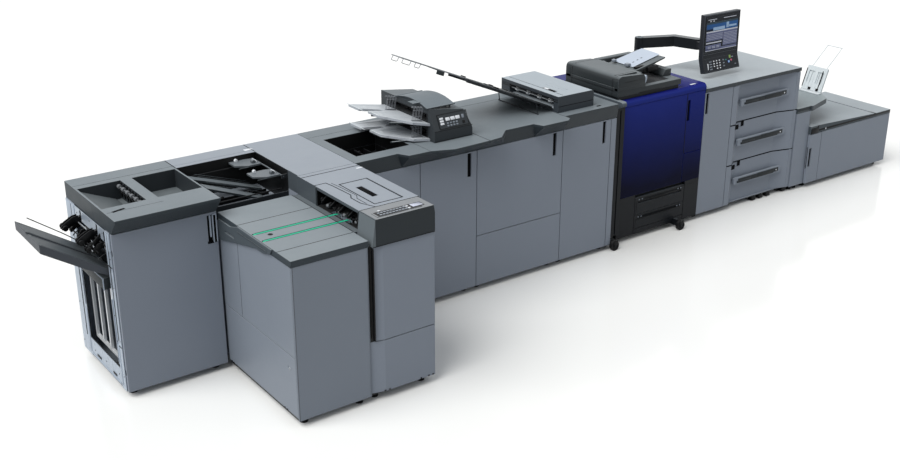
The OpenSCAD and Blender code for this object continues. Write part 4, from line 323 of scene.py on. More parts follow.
key_grey = made_of(PAINT, "key_grey", (120, 128, 138), slot="light_plastic")
pale_plastic = made_of(PAINT, "pale_plastic", (204, 212, 216), (208, 214, 218), slot="light_plastic")
stack_plastic = made_of(DARK, "stack_tray_plastic", (74, 78, 84), (80, 88, 92))
edge_dark = made_of(DARK, "table_edge_plastic", (52, 60, 66), None)
bezel_plastic = made_of(DARK, "bezel_plastic", (52, 56, 64))
feeder_plastic = made_of(DARK, "feeder_plastic", (42, 47, 50), (96, 103, 107))
handle_plastic = made_of(DARK, "handle_plastic", (28, 33, 37), (62, 69, 75))
label_white = finish_material("label_white", (222, 226, 232), 0.4, 900, 0.02, 0.03)
sheet_paper = finish_material("sheet_paper", (186, 196, 210), 0.75, 1100, 0.05, 0.05, specular=0.1)

# The console's display, the touch screen and the lights beside it
console_screen = made_of(SCREEN, "console_screen", (188, 194, 212), rough=0.18, grain=600, tone=0.12,
    coat=0.3, coat_rough=0.04)
screen_night = made_of(SCREEN, "screen_night", (20, 28, 36), rough=0.12, tone=0.2, specular=0.1, coat=0.1,
    coat_rough=0.03, slot="black_plastic")
screen_slate = made_of(SCREEN, "screen_slate", (104, 110, 142), grain=420, tone=0.25, specular=0.1,
    slot="light_plastic")
screen_line = made_of(SCREEN, "screen_line", (206, 210, 222), rough=0.25)
screen_haze = made_of(SCREEN, "screen_haze", (146, 176, 208), rough=0.22, grain=300, tone=0.4)
screen_sky = made_of(SCREEN, "screen_sky", (40, 86, 142), rough=0.16, grain=240, tone=0.6, specular=0.1,
    slot="blue_gloss", zones=[((4400, 100, 1372), (5000, 400, 1500), (48, 68, 80)),
    ((4400, 100, 1300), (4640, 400, 1338), (12, 28, 50))])
light_green = made_of(LIGHT, "light_green", (128, 160, 84), slot="green_belt")
light_teal = made_of(LIGHT, "light_teal", (40, 140, 132), slot="green_belt")
light_red = made_of(LIGHT, "light_red", (190, 92, 116))
light_blue = made_of(LIGHT, "light_blue", (150, 186, 226))


def painted_seam_shade(x0, x1, y, z1=1000, z0=30):
    """Painted shade: near-black on a carcass front, where shade falls in the seams of its doors."""
    return ((x0, y - 1, z0), (x1, y + 1, z1), SHADE_BLACK)


# Finishes of the CAD nodes. Zones colour the parts of a node that are another plastic, or paint shade in
# near-black on the parts that lie in the dark, in seams, pits and recesses. The second colour of a zone's
# pair is painted top light.
surfaces = {
    "tray_lift_frame": rail_metal, "stack_tray": stack_plastic, "hold_down_arm": moulded_black,
    "pit_exit_rollers": roller_grey, "conveyor_belts": belt_rubber, "belt_drive_shaft": drawn_wire,
    "front_sheet_guides": chrome, "rear_sheet_guides": chrome, "stacker_top_cover": cover,
    "banner_rollers": white_rubber, "banner_wire": drawn_wire, "left_caster_wheels": tyre_rubber,
    "right_caster_wheels": tyre_rubber, "document_feeder": feeder_plastic, "feed_cover": feeder_plastic,
    "bypass_tray": pale_plastic, "levelling_feet": moulded_black,
    "finisher_cabinet": made_of(PAINT, "finisher_carcass", zones=[
        ((-5, 76, 145), (74, 530, 948), SHADE_BLACK), painted_seam_shade(2, 576, 24)]),
    "finisher_top_cover": made_of(COVER, "finisher_cover_plastic", (53, 60, 65), (118, 127, 133), zones=[
        ((10, 128, 900), (570, 496, 1040.4), ((42, 47, 51), (96, 104, 108)))]),
    "bridge_cabinet": made_of(PAINT, "bridge_carcass", zones=[
        ((577, -5, 846), (1070, 118, 1040.4), ((34, 38, 42), (52, 57, 62))),
        ((578, 118, 846.5), (1069, 501, 1040.4), SHADE_BLACK),
        ((600, 199, 850), (1045, 291, 1012), (DARK_GREY, COVER_LIT_TOP)),
        ((600, 379, 850), (1045, 451, 1012), (DARK_GREY, COVER_LIT_TOP))]),
    "bridge_guide_arms": made_of(PAINT, "guide_arm_paint", (78, 84, 89), (104, 111, 117)),
    "stitcher_cabinet": made_of(PAINT, "stitcher_carcass", zones=[
        ((1028, -651, 900), (1065.6, 5, 934.5), ((58, 65, 71), (94, 102, 107))),
        ((1060, -651, 932.5), (1430, 0, 1042), ((70, 77, 83), PANEL_LIT_TOP)),
        ((1066, -640, 931), (1187, -214, 1026), SHADE_BLACK), painted_seam_shade(1029, 1428, -771),
        ((1060, -2, 932.5), (1071, 112, 1042), (70, 77, 83)),
        ((1060, 112, 846), (1071, 501, 1040.4), SHADE_BLACK)]),
    "stitcher_console": made_of(DARK, "console_plastic", top=(134, 138, 142), zones=[
        ((1100, -780, 1042.2), (1420, -660, 1046), BLACK),
        ((1040, -805, 890), (1064.6, -640, 1040.6), (98, 106, 111))]),
    "table_cabinet": made_of(PAINT, "table_carcass", (127, 135, 146), zones=[
        ((596, -790, 30), (598, 12, 900), SHADE_BLACK)]),
    "table_top": made_of(COVER, "table_top_plastic", (50, 58, 64), (130, 139, 145)),
    "side_flap": made_of(COVER, "flap_plastic", (72, 80, 86)),
    "folder_cabinet": made_of(PAINT, "folder_carcass", zones=[
        ((1400, 80, 800), (1866, 464, 949.2), SHADE_BLACK), painted_seam_shade(1880, 2298, 24)]),
    "folder_top_cover": made_of(COVER, "folder_cover_plastic", zones=[
        ((1497, 84, 940), (1866, 464, 1040.4), SHADE_BLACK)]),
    "inserter_body": made_of(DARK, "inserter_casing", (49, 54, 58), (96, 104, 109), zones=[
        ((1995, 90, 1048), (2075, 540, 1206), (20, 23, 26))]),
    "inserter_lid": made_of(COVER, "inserter_lid_plastic", (50, 57, 62), (104, 114, 121)),
    "inserter_trays": made_of(PAINT, "wing_tray_plastic", (160, 166, 174), (192, 198, 204)),
    "stacker_cabinet": made_of(PAINT, "stacker_carcass", zones=[painted_seam_shade(2304, 2983, 24, 948, 379)]),
    "relay_cabinet": made_of(PAINT, "relay_carcass", zones=[
        ((2980, -150, 948.2), (3455, 670, 1060), (COVER_GREY, COVER_LIT_TOP)), painted_seam_shade(2990, 3396, 24, 946)]),
    "banner_unit": made_of(COVER, "long_sheet_unit", (50, 56, 62), (164, 174, 182)),
    "banner_tray": made_of(DARK, "long_tray_plastic", (34, 38, 42), (54, 60, 65)),
    "engine_frame": made_of(SOOT, "engine_chassis", (20, 23, 27), (48, 52, 57), zones=[
        ((3490, -5, 999.2), (3540, 670, 1040), ((76, 84, 92), (128, 137, 144)))]),
    "imaging_units": made_of(SOOT, "imaging_plastic", zones=[
        ((4100, 0, 300), (4340, 400, 1000), (205, 206, 208))]),
    "upper_cassette": made_of(SOOT, "cassette_plastic", (24, 27, 31), (60, 65, 70)),
    "panel_arm": made_of(SOOT, "arm_plastic", (27, 30, 33), (108, 112, 115)),
    "operation_panel": made_of(SOOT, "panel_plastic", (38, 41, 46), (76, 80, 86)),
    "feeder_cabinet": made_of(PAINT, "feeder_carcass", zones=[
        ((4325, 30, 960.2), (5360, 670, 1000), ((42, 49, 55), (160, 169, 175))),
        painted_seam_shade(4334, 5355, 67, 960)]),
    "bypass_unit": made_of(PAINT, "link_carcass", zones=[
        ((5350, 20, 624), (5880, 670, 672), ((58, 66, 72), (136, 146, 150)))]),
    "large_unit_cabinet": made_of(PAINT, "large_unit_carcass", zones=[
        ((5505, 5, 440.4), (5606, 670, 510), (BAND_GREY, BAND_LIT_TOP)),
        ((6300, 5, 440.4), (6510, 670, 480), (BAND_GREY, BAND_LIT_TOP)), painted_seam_shade(5514, 6505, 34, 438)]),
    "large_unit_lid": made_of(COVER, "large_lid_plastic", BAND_GREY, (144, 153, 159)),
}
surfaces["lower_cassette"] = surfaces["upper_cassette"]
for node in ("engine_covers", "engine_main_door", "toner_door", "start_key"):
    surfaces[node] = gloss_blue
for node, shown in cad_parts.items():
    for kept in shown.material_slots:
        kept.material = surfaces.get(node, paint)


# Making pieces. A part is shaped on its own, then joined into its piece, in millimetres of the row.
def turn(x, y, z, rx=0.0, ry=0.0, rz=0.0):
    """A place in the row and a turn in degrees."""
    return (Matrix.Translation((x, y, z)) @ Matrix.Rotation(math.radians(rz), 4, "Z")
        @ Matrix.Rotation(math.radians(ry), 4, "Y") @ Matrix.Rotation(math.radians(rx), 4, "X"))


def shift(x, y, z):
    return Matrix.Translation((x, y, z))


FRONT, BACK, LEFT = turn(0, 0, 0, rx=90), turn(0, 0, 0, rx=-90), turn(0, 0, 0, ry=-90)


def join(piece, part, where=Matrix()):
    bmesh.ops.transform(part, matrix=where, verts=part.verts)
    bmesh.ops.recalc_face_normals(part, faces=part.faces)
    holder = bpy.data.meshes.new("part")
    part.to_mesh(holder)
    part.free()
    piece.from_mesh(holder)
    bpy.data.meshes.remove(holder)


def soften(part, radius, steps):
    if radius:
        bmesh.ops.bevel(part, geom=part.edges[:], offset=radius, offset_type="OFFSET", segments=steps,
            profile=0.5, affect="EDGES", material=-1, clamp_overlap=True)
    return part


def block(size, radius=0.0, steps=2):
    """A block about the origin with rounded edges."""
    part = bmesh.new()
    bmesh.ops.create_cube(part, size=1.0)
    bmesh.ops.scale(part, vec=size, verts=part.verts)
    return soften(part, radius, steps)


def between(low, high, radius=1.0, steps=2):
    """A rounded block between two corners of the row."""
    low, high = Vector(low), Vector(high)
    part = block(high - low, radius, steps)
    bmesh.ops.translate(part, vec=(low + high) / 2, verts=part.verts)
    return part


def slabs(radius, *rows):
    """Rounded blocks of the row, each given as x0, y0, z0, x1, y1, z1."""
    return [between(row[:3], row[3:], radius) for row in rows]


def plate(outline, thick, radius=0.0, steps=2):
    """An outline in x and y, thickened upwards, with rounded edges."""
    part = bmesh.new()
    face = part.faces.new([part.verts.new((x, y, 0)) for x, y in outline])
    raised = bmesh.ops.extrude_face_region(part, geom=[face])["geom"]
    bmesh.ops.translate(part, vec=(0, 0, thick), verts=[
        v for v in raised if isinstance(v, bmesh.types.BMVert)])
    return soften(part, radius, steps)


def card(width, height, thick, radius, steps=2):
    """A flat rectangle standing on the origin."""
    x, y = width / 2, height / 2
    return plate([(-x, -y), (x, -y), (x, y), (-x, y)], thick, radius, steps)


def oval(width, height, steps=8):
    """The outline of a rounded bar, longer than it is wide."""
    reach, radius = (height - width) / 2, width / 2
    ends = ((reach, 0.0), (-reach, math.pi))
    return [(radius * math.cos(start + math.pi * i / steps),
        middle + radius * math.sin(start + math.pi * i / steps)) for middle, start in ends
        for i in range(steps + 1)]


def turned(profile, steps=20):
    """A profile of (radius, height) spun round the z axis."""
    part = bmesh.new()
    line = [part.verts.new((radius, 0, height)) for radius, height in profile]
    edges = [part.edges.new(pair) for pair in zip(line, line[1:])]
    bmesh.ops.spin(part, geom=line + edges, axis=(0, 0, 1), cent=(0, 0, 0), angle=math.tau, steps=steps,
        use_merge=True)
    bmesh.ops.remove_doubles(part, verts=part.verts, dist=0.001)
    return part


def disc(radius, thick, soft):
    """A short round plug with a softened rim, standing on the origin."""
    return turned([(0, 0), (radius, 0), (radius, thick - soft), (radius - soft, thick), (0, thick)])


def screw(radius):
    """A round head with a sunk driver socket."""
    return turned([(0, 0), (radius, 0), (radius, 0.7), (radius * 0.75, 1.7), (radius * 0.42, 1.8),
        (radius * 0.36, 0.9), (0, 0.8)], 10)


def wheel(radius, width, hub=3.0):
    """A roller or wheel with softened shoulders, open at its hub."""
    soft = min(2.0, width / 4)
    return turned([(hub, 0), (radius - soft, 0), (radius, soft), (radius, width - soft),
        (radius - soft, width), (hub, width)], 18)


def wheels(radius, width, places, hub=3.0):
    """Wheels on an axle that runs from front to back."""
    return [(wheel(radius, width, hub), turn(*place) @ BACK) for place in places]


def pan(width, height, depth, rim, proud=1.2):
    """A rim with a sunk floor, as the liner of a finger slot. It opens upwards."""
    part = bmesh.new()
    bmesh.ops.create_grid(part, x_segments=1, y_segments=1, size=0.5)
    bmesh.ops.scale(part, vec=(width + 2 * rim, height + 2 * rim, 1), verts=part.verts)
    bmesh.ops.translate(part, vec=(0, 0, proud), verts=part.verts)
    floor = part.faces[:]
    bmesh.ops.inset_region(part, faces=floor, thickness=rim * 0.3, depth=rim * 0.2)
    bmesh.ops.inset_region(part, faces=floor, thickness=rim * 0.7, depth=0)
    bmesh.ops.inset_region(part, faces=floor, thickness=0.4, depth=-depth)
    bmesh.ops.recalc_face_normals(part, faces=part.faces)
    bmesh.ops.solidify(part, geom=part.faces[:], thickness=0.6)
    return part


def rod(points, radius, sides=10):
    """A round bar through points, with closed ends."""
    part = bmesh.new()
    points = [Vector(point) for point in points]
    rings = []
    for i, point in enumerate(points):
        way = Vector()
        if i:
            way += (point - points[i - 1]).normalized()
        if i < len(points) - 1:
            way += (points[i + 1] - point).normalized()
        tilt = way.to_track_quat("Z", "Y").to_matrix().to_4x4()
        ring = bmesh.ops.create_circle(part, cap_ends=False, segments=sides, radius=radius,
            matrix=Matrix.Translation(point) @ tilt)["verts"]
        rings.append(list({edge for vert in ring for edge in vert.link_edges}))
    for first, second in zip(rings, rings[1:]):
        bmesh.ops.bridge_loops(part, edges=first + second)
    bmesh.ops.holes_fill(part, edges=[edge for edge in part.edges if edge.is_boundary], sides=sides)
    return part


def bent(points, radius, steps=5):
    """The same path with its corners rounded to a radius."""
    points = [Vector(point) for point in points]
    path = [points[0]]
    for before, corner, after in zip(points, points[1:], points[2:]):
        into = (before - corner).normalized() * min(radius, (before - corner).length / 2)
        away = (after - corner).normalized() * min(radius, (after - corner).length / 2)
        path += [corner + into * (1 - k / steps) ** 2 + away * (k / steps) ** 2 for k in range(steps + 1)]
    return path + [points[-1]]


def collect(name, surface, parts, body="row"):
    """Joins (part, place) pairs and parts already in place into one piece of the CAD frame, with its body."""
    piece = bmesh.new()
    for part in parts:
        if isinstance(part, tuple):
            join(piece, *part)
        else:
            join(piece, part)
    bmesh.ops.transform(piece, matrix=TO_FRAME, verts=piece.verts)
    mesh = bpy.data.meshes.new(name)
    piece.to_mesh(mesh)
    piece.free()
    mesh.materials.append(surface)
    mesh.polygons.foreach_set("use_smooth", [True] * len(mesh.polygons))
    mesh.set_sharp_from_angle(angle=CREASE_ANGLE)
    made = bpy.data.objects.new(name, mesh)
    bpy.context.scene.collection.objects.link(made)
    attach(made, body)
    return made


# Grips of the doors
GRIP_WIDTH, GRIP_HEIGHT = 28, 152


def grip_shade_liner(name, x, top, y, body):
    """Near-black liner of a door's grip slot, painted shade where shade falls in it, with the pull bar at its
    back.
    """
    liner = (pan(GRIP_WIDTH + 11, GRIP_HEIGHT + 6, 12.5, 7), turn(x, y, top - GRIP_HEIGHT / 2) @ FRONT)
    bar = between((x - GRIP_WIDTH * 0.3, y + 7, top - GRIP_HEIGHT * 0.94),
        (x - GRIP_WIDTH * 0.1, y + 12, top - GRIP_HEIGHT * 0.06), 1.5)
    collect(name, seam_and_shade_black, [liner, bar], body)


for name, x, top, y, body in (
        ("finisher_grip", 535, 930, 0, "finisher_door"), ("folder_grip", 2241, 937, 0, "folder_door"),
        ("stacker_grip", 2917, 939, 0, "stacker_door"), ("relay_grip", 3342, 939, 0, "relay_door"),
        ("toner_grip", 4173, 933, 41, "toner_door"), ("feeder_grip", 4357, 949, 43, "feeder_door"),
        ("narrow_door_grip", 5534.5, 325, 10, "large_unit_door")):
    grip_shade_liner(name, x, top, y, body)

# Finisher: screwed end plates
end_points = [(40, 905), (40, 800), (68, 862), (34, 640), (72, 650), (72, 470), (38, 330), (72, 318),
    (38, 120), (66, 70), (638, 905), (558, 915), (642, 780), (640, 640), (544, 655), (544, 470), (640, 330),
    (548, 300), (640, 90), (560, 70), (112, 105), (300, 98), (470, 92), (118, 918), (300, 926), (492, 912)]
collect("finisher_end_screws", screw_zinc, [(screw(4.2), turn(-3, y, z) @ LEFT) for y, z in end_points])
strap_parts = [between((-5, y0, z0), (-3, y1, z1), 0.6) for y0, y1, z0, z1 in (
    (56, 80, 758, 938), (26, 52, 842, 938), (528, 572, 690, 938), (580, 652, 838, 938), (528, 560, 60, 330),
    (60, 80, 60, 300), (90, 520, 50, 62))]
strap_parts += slabs(0.5, (-8, 79, 180, -3, 82, 560), (-8, 526, 360, -3, 529, 660))
collect("finisher_end_straps", strap_paint, strap_parts)
collect("finisher_end_seams", moulded_black, [between((-5.6, y0, z0), (-3, y1, z1), 0.4)
    for y0, y1, z0, z1 in ((52.5, 55.5, 330, 936), (573, 577, 150, 936), (24, 82, 752, 756),
    (528, 655, 832, 835), (24, 60, 296, 299), (150, 200, 72, 84), (380, 440, 72, 84), (86, 96, 886, 936))])

# Finisher: exit fingers and shafts over the stack tray
finger = [(0, 14), (-34, 8), (-58, -30), (-52, -40), (-22, -22), (0, -20)]
hook = [(0, 26), (0, -6), (-50, -52), (-66, -62), (-82, -50), (-70, -34)]
exit_parts = [rod([(-40, 100, 824), (-40, 510, 824)], 4), rod([(2, 100, 850), (2, 510, 850)], 5)]
exit_parts += slabs(2, (4, 96, 744, 12, 512, 806), (6, 250, 800, 14, 360, 872))
for y in (135, 268, 372, 486):
    exit_parts += [(plate(finger, 7, 1.2), turn(4, y, 852) @ FRONT), *wheels(14, 12, [(-40, y + 1, 824)])]
exit_parts += [(plate(hook, 9, 1.5), turn(-2, 156, 882) @ FRONT),
    *wheels(16, 13, [(-72, 158, 834), (-72, 133, 834)])]
exit_parts += [rod(bent([(10, y, 808), (-22, y, 802), (-36, y, 784)], 14), 3.2, 8)
    for y in (108, 205, 320, 400, 500)]
collect("tray_exit_fingers", moulded_black, exit_parts)
collect("tray_exit_shafts", drawn_wire, [rod([(-52, 128, 852), (-30, 215, 852)], 3),
    rod([(-22, 300, 884), (-22, 500, 884)], 3), rod([(-62, 120, 834), (-62, 176, 834)], 3)])

# Finisher: stack tray, its carriage and the hold-down arm
TRAY_SLOPE = 0.662
ramp = math.degrees(math.atan(TRAY_SLOPE))
collect("tray_sheet_rod", moulded_black, [rod(bent([(-14, 312, 734), (-52, 306, 812), (-131, 298, 880),
    (-318, 290, 1020)], 40), 2.6)], "stack_tray")
collect("tray_ribs", stack_plastic, [(block((length, 5, 3), 1.2),
    turn(x, y, 705.6 + (28 - x) * TRAY_SLOPE, ry=ramp)) for length, x, y in ((130, -50, 150), (130, -50, 190),
    (130, -50, 395), (130, -50, 430), (400, -150, 104), (400, -150, 476), (400, -150, 262),
    (400, -150, 318))], "stack_tray")
collect("tray_carriage_front", moulded_dark, slabs(3, (-30, 112, 606, 26, 478, 672)), "stack_tray")
collect("tray_carriage_edge", strap_paint, slabs(1, (-33, 110, 668, -26, 480, 673))
    + slabs(0.8, (-33, 110, 606, -27, 114, 670)), "stack_tray")

cheek = [(-34, 14), (-34, -24), (-60, -34), (-108, -58), (-126, -50), (-130, -32), (-104, -12), (-62, 10)]
arm_parts = []
for y in (188.6, 428.3):
    arm_parts += [(plate(cheek, 5, 1), turn(14, y + side, 908) @ FRONT) for side in (0, 23)]
    arm_parts += wheels(15.5, 11, [(-96, y + reach, 868) for reach in (-21, 29)])
    arm_parts.append((disc(7, 3, 0.5), turn(-40, y, 888) @ FRONT))
collect("hold_down_cheeks", moulded_black, arm_parts, "hold_down_arm")

# Finisher: frame of the door grip, mark and star wheels of the top
collect("finisher_grip_frame", strap_paint, slabs(
    2, (549, -6, 774, 555, 1, 934), (568, -6, 774, 574, 1, 934), (549, -6, 928, 574, 1, 934),
    (534, -3, 806, 541, 8, 930)), "finisher_door")
collect("finisher_grip_shadow", seam_and_shade_black, slabs(0.6, (552, -1.5, 772, 572, 0.5, 930),
    (516, -1.5, 770, 552, 0.5, 784)), "finisher_door")
collect("finisher_top_mark", seam_and_shade_black, [(pan(30, 12, 1.6, 3, proud=1.4), turn(x, y, ROW_TOP, rz=14))
    for x, y in ((60, 64), (96, 74))])
pit_parts = wheels(8, 6, [(240, y, 985) for y in range(160, 441, 40)])
pit_parts.append(rod([(240, 136, 985), (240, 488, 985)], 3))
pit_parts += [between((246, y, 950), (252, y + 12, 1036), 1.5) for y in range(142, 490, 41)]
collect("pit_star_wheels", moulded_black, pit_parts)

# Bridge between finisher and stitcher
collect("bridge_label", label_white, [(card(52, 28, 0.8, 0.3), turn(1052, 560, ROW_TOP, rz=4))])
bridge_parts = [rod([(610, 470, 985), (1040, 470, 985)], 4), rod([(610, 140, 930), (1040, 140, 930)], 4)]
bridge_parts += wheels(9, 14, [(x, 352, 862) for x in range(700, 941, 80)])
bridge_parts += slabs(1, (600, 330, 846, 1040, 334, 872), (600, 300, 846, 1040, 304, 866))
bridge_parts.append(rod([(690, 352, 862), (950, 352, 862)], 2.5))
collect("bridge_fittings", moulded_black, bridge_parts)
collect("bridge_guide_ribs", cover, [(block((330, 2, 2), 0.8), turn(810, y, 955, ry=18.6))
    for y in (212, 278, 392, 438)])
collect("bridge_guide_pads", white_rubber, wheels(10, 16, [(x, y, 1017) for x, y in (
    (1018, 176), (1018, 196), (935, 250), (1018, 402), (1018, 424), (935, 478))], 2), "bridge_guide_arms")
collect("bridge_guide_edges", moulded_dark, [between((902, y - 2, 1000), (1040, y + 2, 1003.5), 1)
    for y in (152, 268, 380, 496)], "bridge_guide_arms")

# Stitcher: seams of its top, with the flat zigzag line of the jam cover
collect("stitcher_tag", label_white, [(card(38, 14, 2.4, 0.8), turn(1408, -92, ROW_TOP))])
seam_parts = [between((x0, y0, 1040.4), (x1, y1, 1041.8), 0.3) for x0, y0, x1, y1 in (
    (1178, -614, 1183, -254), (1352, -614, 1357, -254), (1178, -614, 1357, -609), (1178, -259, 1357, -254),
    (1066, -651, 1428, -647), (1066, -52, 1428, -47))]
zigzag = [(1065 + a * 364, -b * 650) for a, b in ((0, 0.3), (0.19, 0.3), (0.21, 0.4), (0.23, 0.66),
    (0.17, 0.72), (0.17, 0.86), (0.27, 1))]
for step in (0, 1):
    line = [(x + 22 * step, y - 24 * step) for x, y in zigzag]
    for (xa, ya), (xb, yb) in zip(line[step:], line[1 + step:len(line) - step]):
        seam_parts.append((block((math.hypot(xb - xa, yb - ya) + 4, 5 - 2 * step, 1.6), 0.3),
            turn((xa + xb) / 2, (ya + yb) / 2, ROW_TOP, rz=math.degrees(math.atan2(yb - ya, xb - xa)))))
seam_parts += slabs(0.3, (1067, 504, 1040.4, 1071, 656, 1041.8), (576, 504, 1040.4, 580, 656, 1041.8))
collect("stitcher_top_seams", seam_and_shade_black, seam_parts)
# Painted shade: a near-black liner and block fill the slot of the jam cover.
collect("jam_cover_slot", seam_and_shade_black, [(pan(38, 168, 12, 5, proud=1.0), turn(1248, -431, ROW_TOP)),
    between((1233, -510, 1033), (1263, -352, 1041.4), 1)], "stitcher_jam_cover")

# Stitcher: fingers, rollers and rims of the mouth in its left side
claw = [(0, 0), (-62, -16), (-96, -40), (-100, -54), (-84, -52), (-46, -34), (0, -22)]
mouth_parts = []
for y in range(-610, -249, 90):
    mouth_parts += [(plate(claw, 9, 1.5), turn(1168, y, 1012) @ FRONT),
        *wheels(12, 14, [(1092, y + 16, 966)])]
mouth_parts += [between((1168, -636, 934), (1182, -220, 1020), 2),
    rod([(1150, -630, 1004), (1150, -226, 1004)], 4), between((1070, -640, 1010), (1184, -634, 1020), 1)]
collect("mouth_fingers", moulded_black, mouth_parts)
collect("mouth_rollers", roller_grey, wheels(9, 20, [(1090, y, 950) for y in (-590, -470, -420, -300)], 2))
collect("mouth_rims", moulded_dark, slabs(1, (1062, -650, 932, 1066, -638, 1036),
    (1062, -217, 932, 1066, -205, 1036)))

# Stitcher: console
collect("console_keys", key_grey, [(block((14, 12, 2.4), 0.9), turn(x, y, 1044.2))
    for x in range(1122, 1275, 19) for y in (-765, -739)])
collect("console_bright_keys", label_white, [(block((14, 12, 2.6), 0.9), turn(x, y, 1044.4))
    for x, y in ((1293, -765), (1293, -739), (1141, -713))])
collect("console_display_rim", moulded_black, [(pan(64, 42, 1.2, 3.5, proud=0.8), turn(1348, -744, 1043))])
collect("console_display", console_screen, [(card(62, 40, 0.6, 0.15), turn(1348, -744, 1043.2))])
collect("console_edge", cover, slabs(0.5, (1066, -799, 1037, 1070, -652, 1042.2)))
collect("console_foot_seam", moulded_black, slabs(0.4, (1044, -803.5, 893, 1424, -800.5, 896))
    + slabs(0.3, (1421, -799, 900, 1425.5, -655, 904)))
collect("stitcher_slit", moulded_black, slabs(1, (1031.5, -776, 360, 1036, -760, 886),
    (1046, -797, 366, 1054, -783, 884)))
foot_marks = [between((x, -797.5, 52), (x + 9, -794.6, 60), 0.5) for x in (1100, 1128, 1330, 1380, 1408)]
foot_marks += [between((588, y, 52), (591.5, y + 8, 60), 0.5) for y in (-30, -52, -640, -668)]
collect("stitcher_foot_marks", moulded_black, foot_marks)

# Booklet table: lock, latch, edge band, sensor, channels of the belts
lock_ring = [(0, 1), (3, 1), (3, 2.4), (6.2, 3), (6.2, 0), (0, 0)]
collect("table_lock", chrome, [(turned(lock_ring), turn(591, -716, 317) @ LEFT)])
collect("table_lock_key", moulded_black, slabs(0.3, (587.4, -717, 313, 589.6, -715, 321)))
collect("table_latch", moulded_black, [(pan(18, 24, 4, 2.5, proud=1.0), turn(591, -76, 779) @ LEFT)])
collect("table_edge_band", edge_dark, slabs(1, (588.4, -787.5, 897, 1029, -785.4, 930))
    + slabs(0.8, (587.4, -786, 897, 589.6, 12, 930)))
collect("table_sensor", moulded_black, [(pan(52, 9, 3, 2, proud=0.6), turn(664, -402, 932, rz=90)),
    (disc(13.4, 2.4, 0.8), turn(672.5, -425, 926))])
channel_parts = [between((612, y + side, 931.6), (1060, y + side + 3, 932.5), 0.2) for side in (-12, 9)
    for y in (-485, -379)]
channel_parts += [between((591, y - 2.4, 931.4), (1028, y + 2.4, 932.4), 0.2) for y in (-218, -646)]
channel_parts += slabs(0.2, (1030, -640, 931.4, 1034, 10, 932.6))
collect("belt_channel_edges", moulded_black, channel_parts)
collect("flap_ridge", cover, slabs(0.5, (575, -560, 905, 577, -240, 909)), "side_flap")

# Folder: fittings of its pit
pit_parts = [between((x, 96, 905), (x + 6, 452, 938), 1) for x in range(1520, 1769, 62)]
pit_parts += [rod([(x, 104, z), (x, 444, z)], 5) for x, z in ((1530, 946), (1700, 940))]
pit_parts += wheels(12, 16, [(x, y, z) for x, z in ((1530, 946), (1700, 940)) for y in (130, 210, 300, 380)])
pit_parts += slabs(1, (1500, 100, 1000, 1506, 450, 1034)) + slabs(4, (1640, 240, 905, 1740, 330, 930))
collect("folder_pit_fittings", moulded_black, pit_parts)

# Inserter: keys on its leaning panel
desk = turn(0, 20, 1110.8, rx=-25.8)
white_keys = [(block((26, 3, 12), 1), desk @ shift(2066, -3, z)) for z in (68, 52, 36)]
white_keys += [(block((30, 3, 20), 1.2), desk @ shift(x, -3, 60)) for x in (2110, 2146, 2182)]
grey_keys = [(block((13, 3, 9), 1), desk @ shift(x, -3, z)) for x in range(2104, 2171, 22) for z in (20, 35)]
grey_keys.append((block((16, 3, 22), 1), desk @ shift(2220, -3, 60)))
collect("inserter_white_keys", label_white, white_keys)
collect("inserter_grey_keys", key_grey, grey_keys)
collect("inserter_dark_keys", moulded_black, [(block((18, 3, 18), 1.5), desk @ shift(2218, -3, 26))])
rim_parts = [(block((214, 3, 3), 1), desk @ shift(2147, -2.4, z)) for z in (6.5, 93)]
rim_parts += [(block((3, 3, 88), 1), desk @ shift(x, -2.4, 50)) for x in (2041, 2253)]
collect("inserter_panel_rim", moulded_black, rim_parts)

# Inserter: ridges, lips and ribs of the two wings, and the wire combs that slide on them
WING_X, INSERTER_HEIGHT = 2000, 194
wings = (("upper", 0.56, 11, 285, 0.44), ("lower", 0.083, 5, 271, 0.36))
combs = {"front": [], "rear": []}
for name, level, rise, reach, tall in wings:
    wing = turn(WING_X, 0, ROW_TOP + level * INSERTER_HEIGHT, ry=rise)
    ridges = [(block((reach - 26, 2.4, 1.6), 0.6), wing @ shift(4 - reach / 2, y, 0.6))
        for y in (90, 214, 330, 395, 520)]
    ridges.append((block((2.4, 120, 1.6), 0.6), wing @ shift(12 - reach * 0.93, 480, 0.6)))
    ridges += [(plate(oval(16, 46), 0.8, 0.2), wing @ shift(-reach * 0.7, y, 0)) for y in (300, 478)]
    collect(name + "_wing_ridges", pale_plastic, ridges)
    collect(name + "_wing_lips", pale_plastic, [
        (block((5, 180, 5), 2), wing @ shift(15 - reach, 480, -1)),
        (block((5, 108, 5), 2), wing @ shift(16 - reach * 0.9, 312, -1))])
    collect(name + "_wing_ribs", moulded_dark, [
        (block((reach - 60, 8, 10), 2), wing @ shift(10 - reach / 2, y, -18)) for y in (140, 330, 500)])
    top = tall * INSERTER_HEIGHT
    for side, y in (("front", 130), ("rear", 415)):
        for x in (-86, -66, -46, -26):
            for near in (y - 5, y + 5):
                wire = bent([(x, near, 3), (x, near, top - 6), (x - 10, near, top + 4),
                    (x - 17, near, top - 5)], 8)
                combs[side].append((rod(wire, 1.3, 8), wing))
        combs[side] += [(rod([(-88, y, z), (-24, y, z)], 1.5, 8), wing) for z in (top * 0.35, top * 0.75)]
        combs[side].append((block((74, 16, 4), 1.5), wing @ shift(-55, y, 3)))
for side, parts in combs.items():
    body = side + "_sheet_guides"
    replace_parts(collect(side + "_guide_combs", comb_wire, parts, body), body)

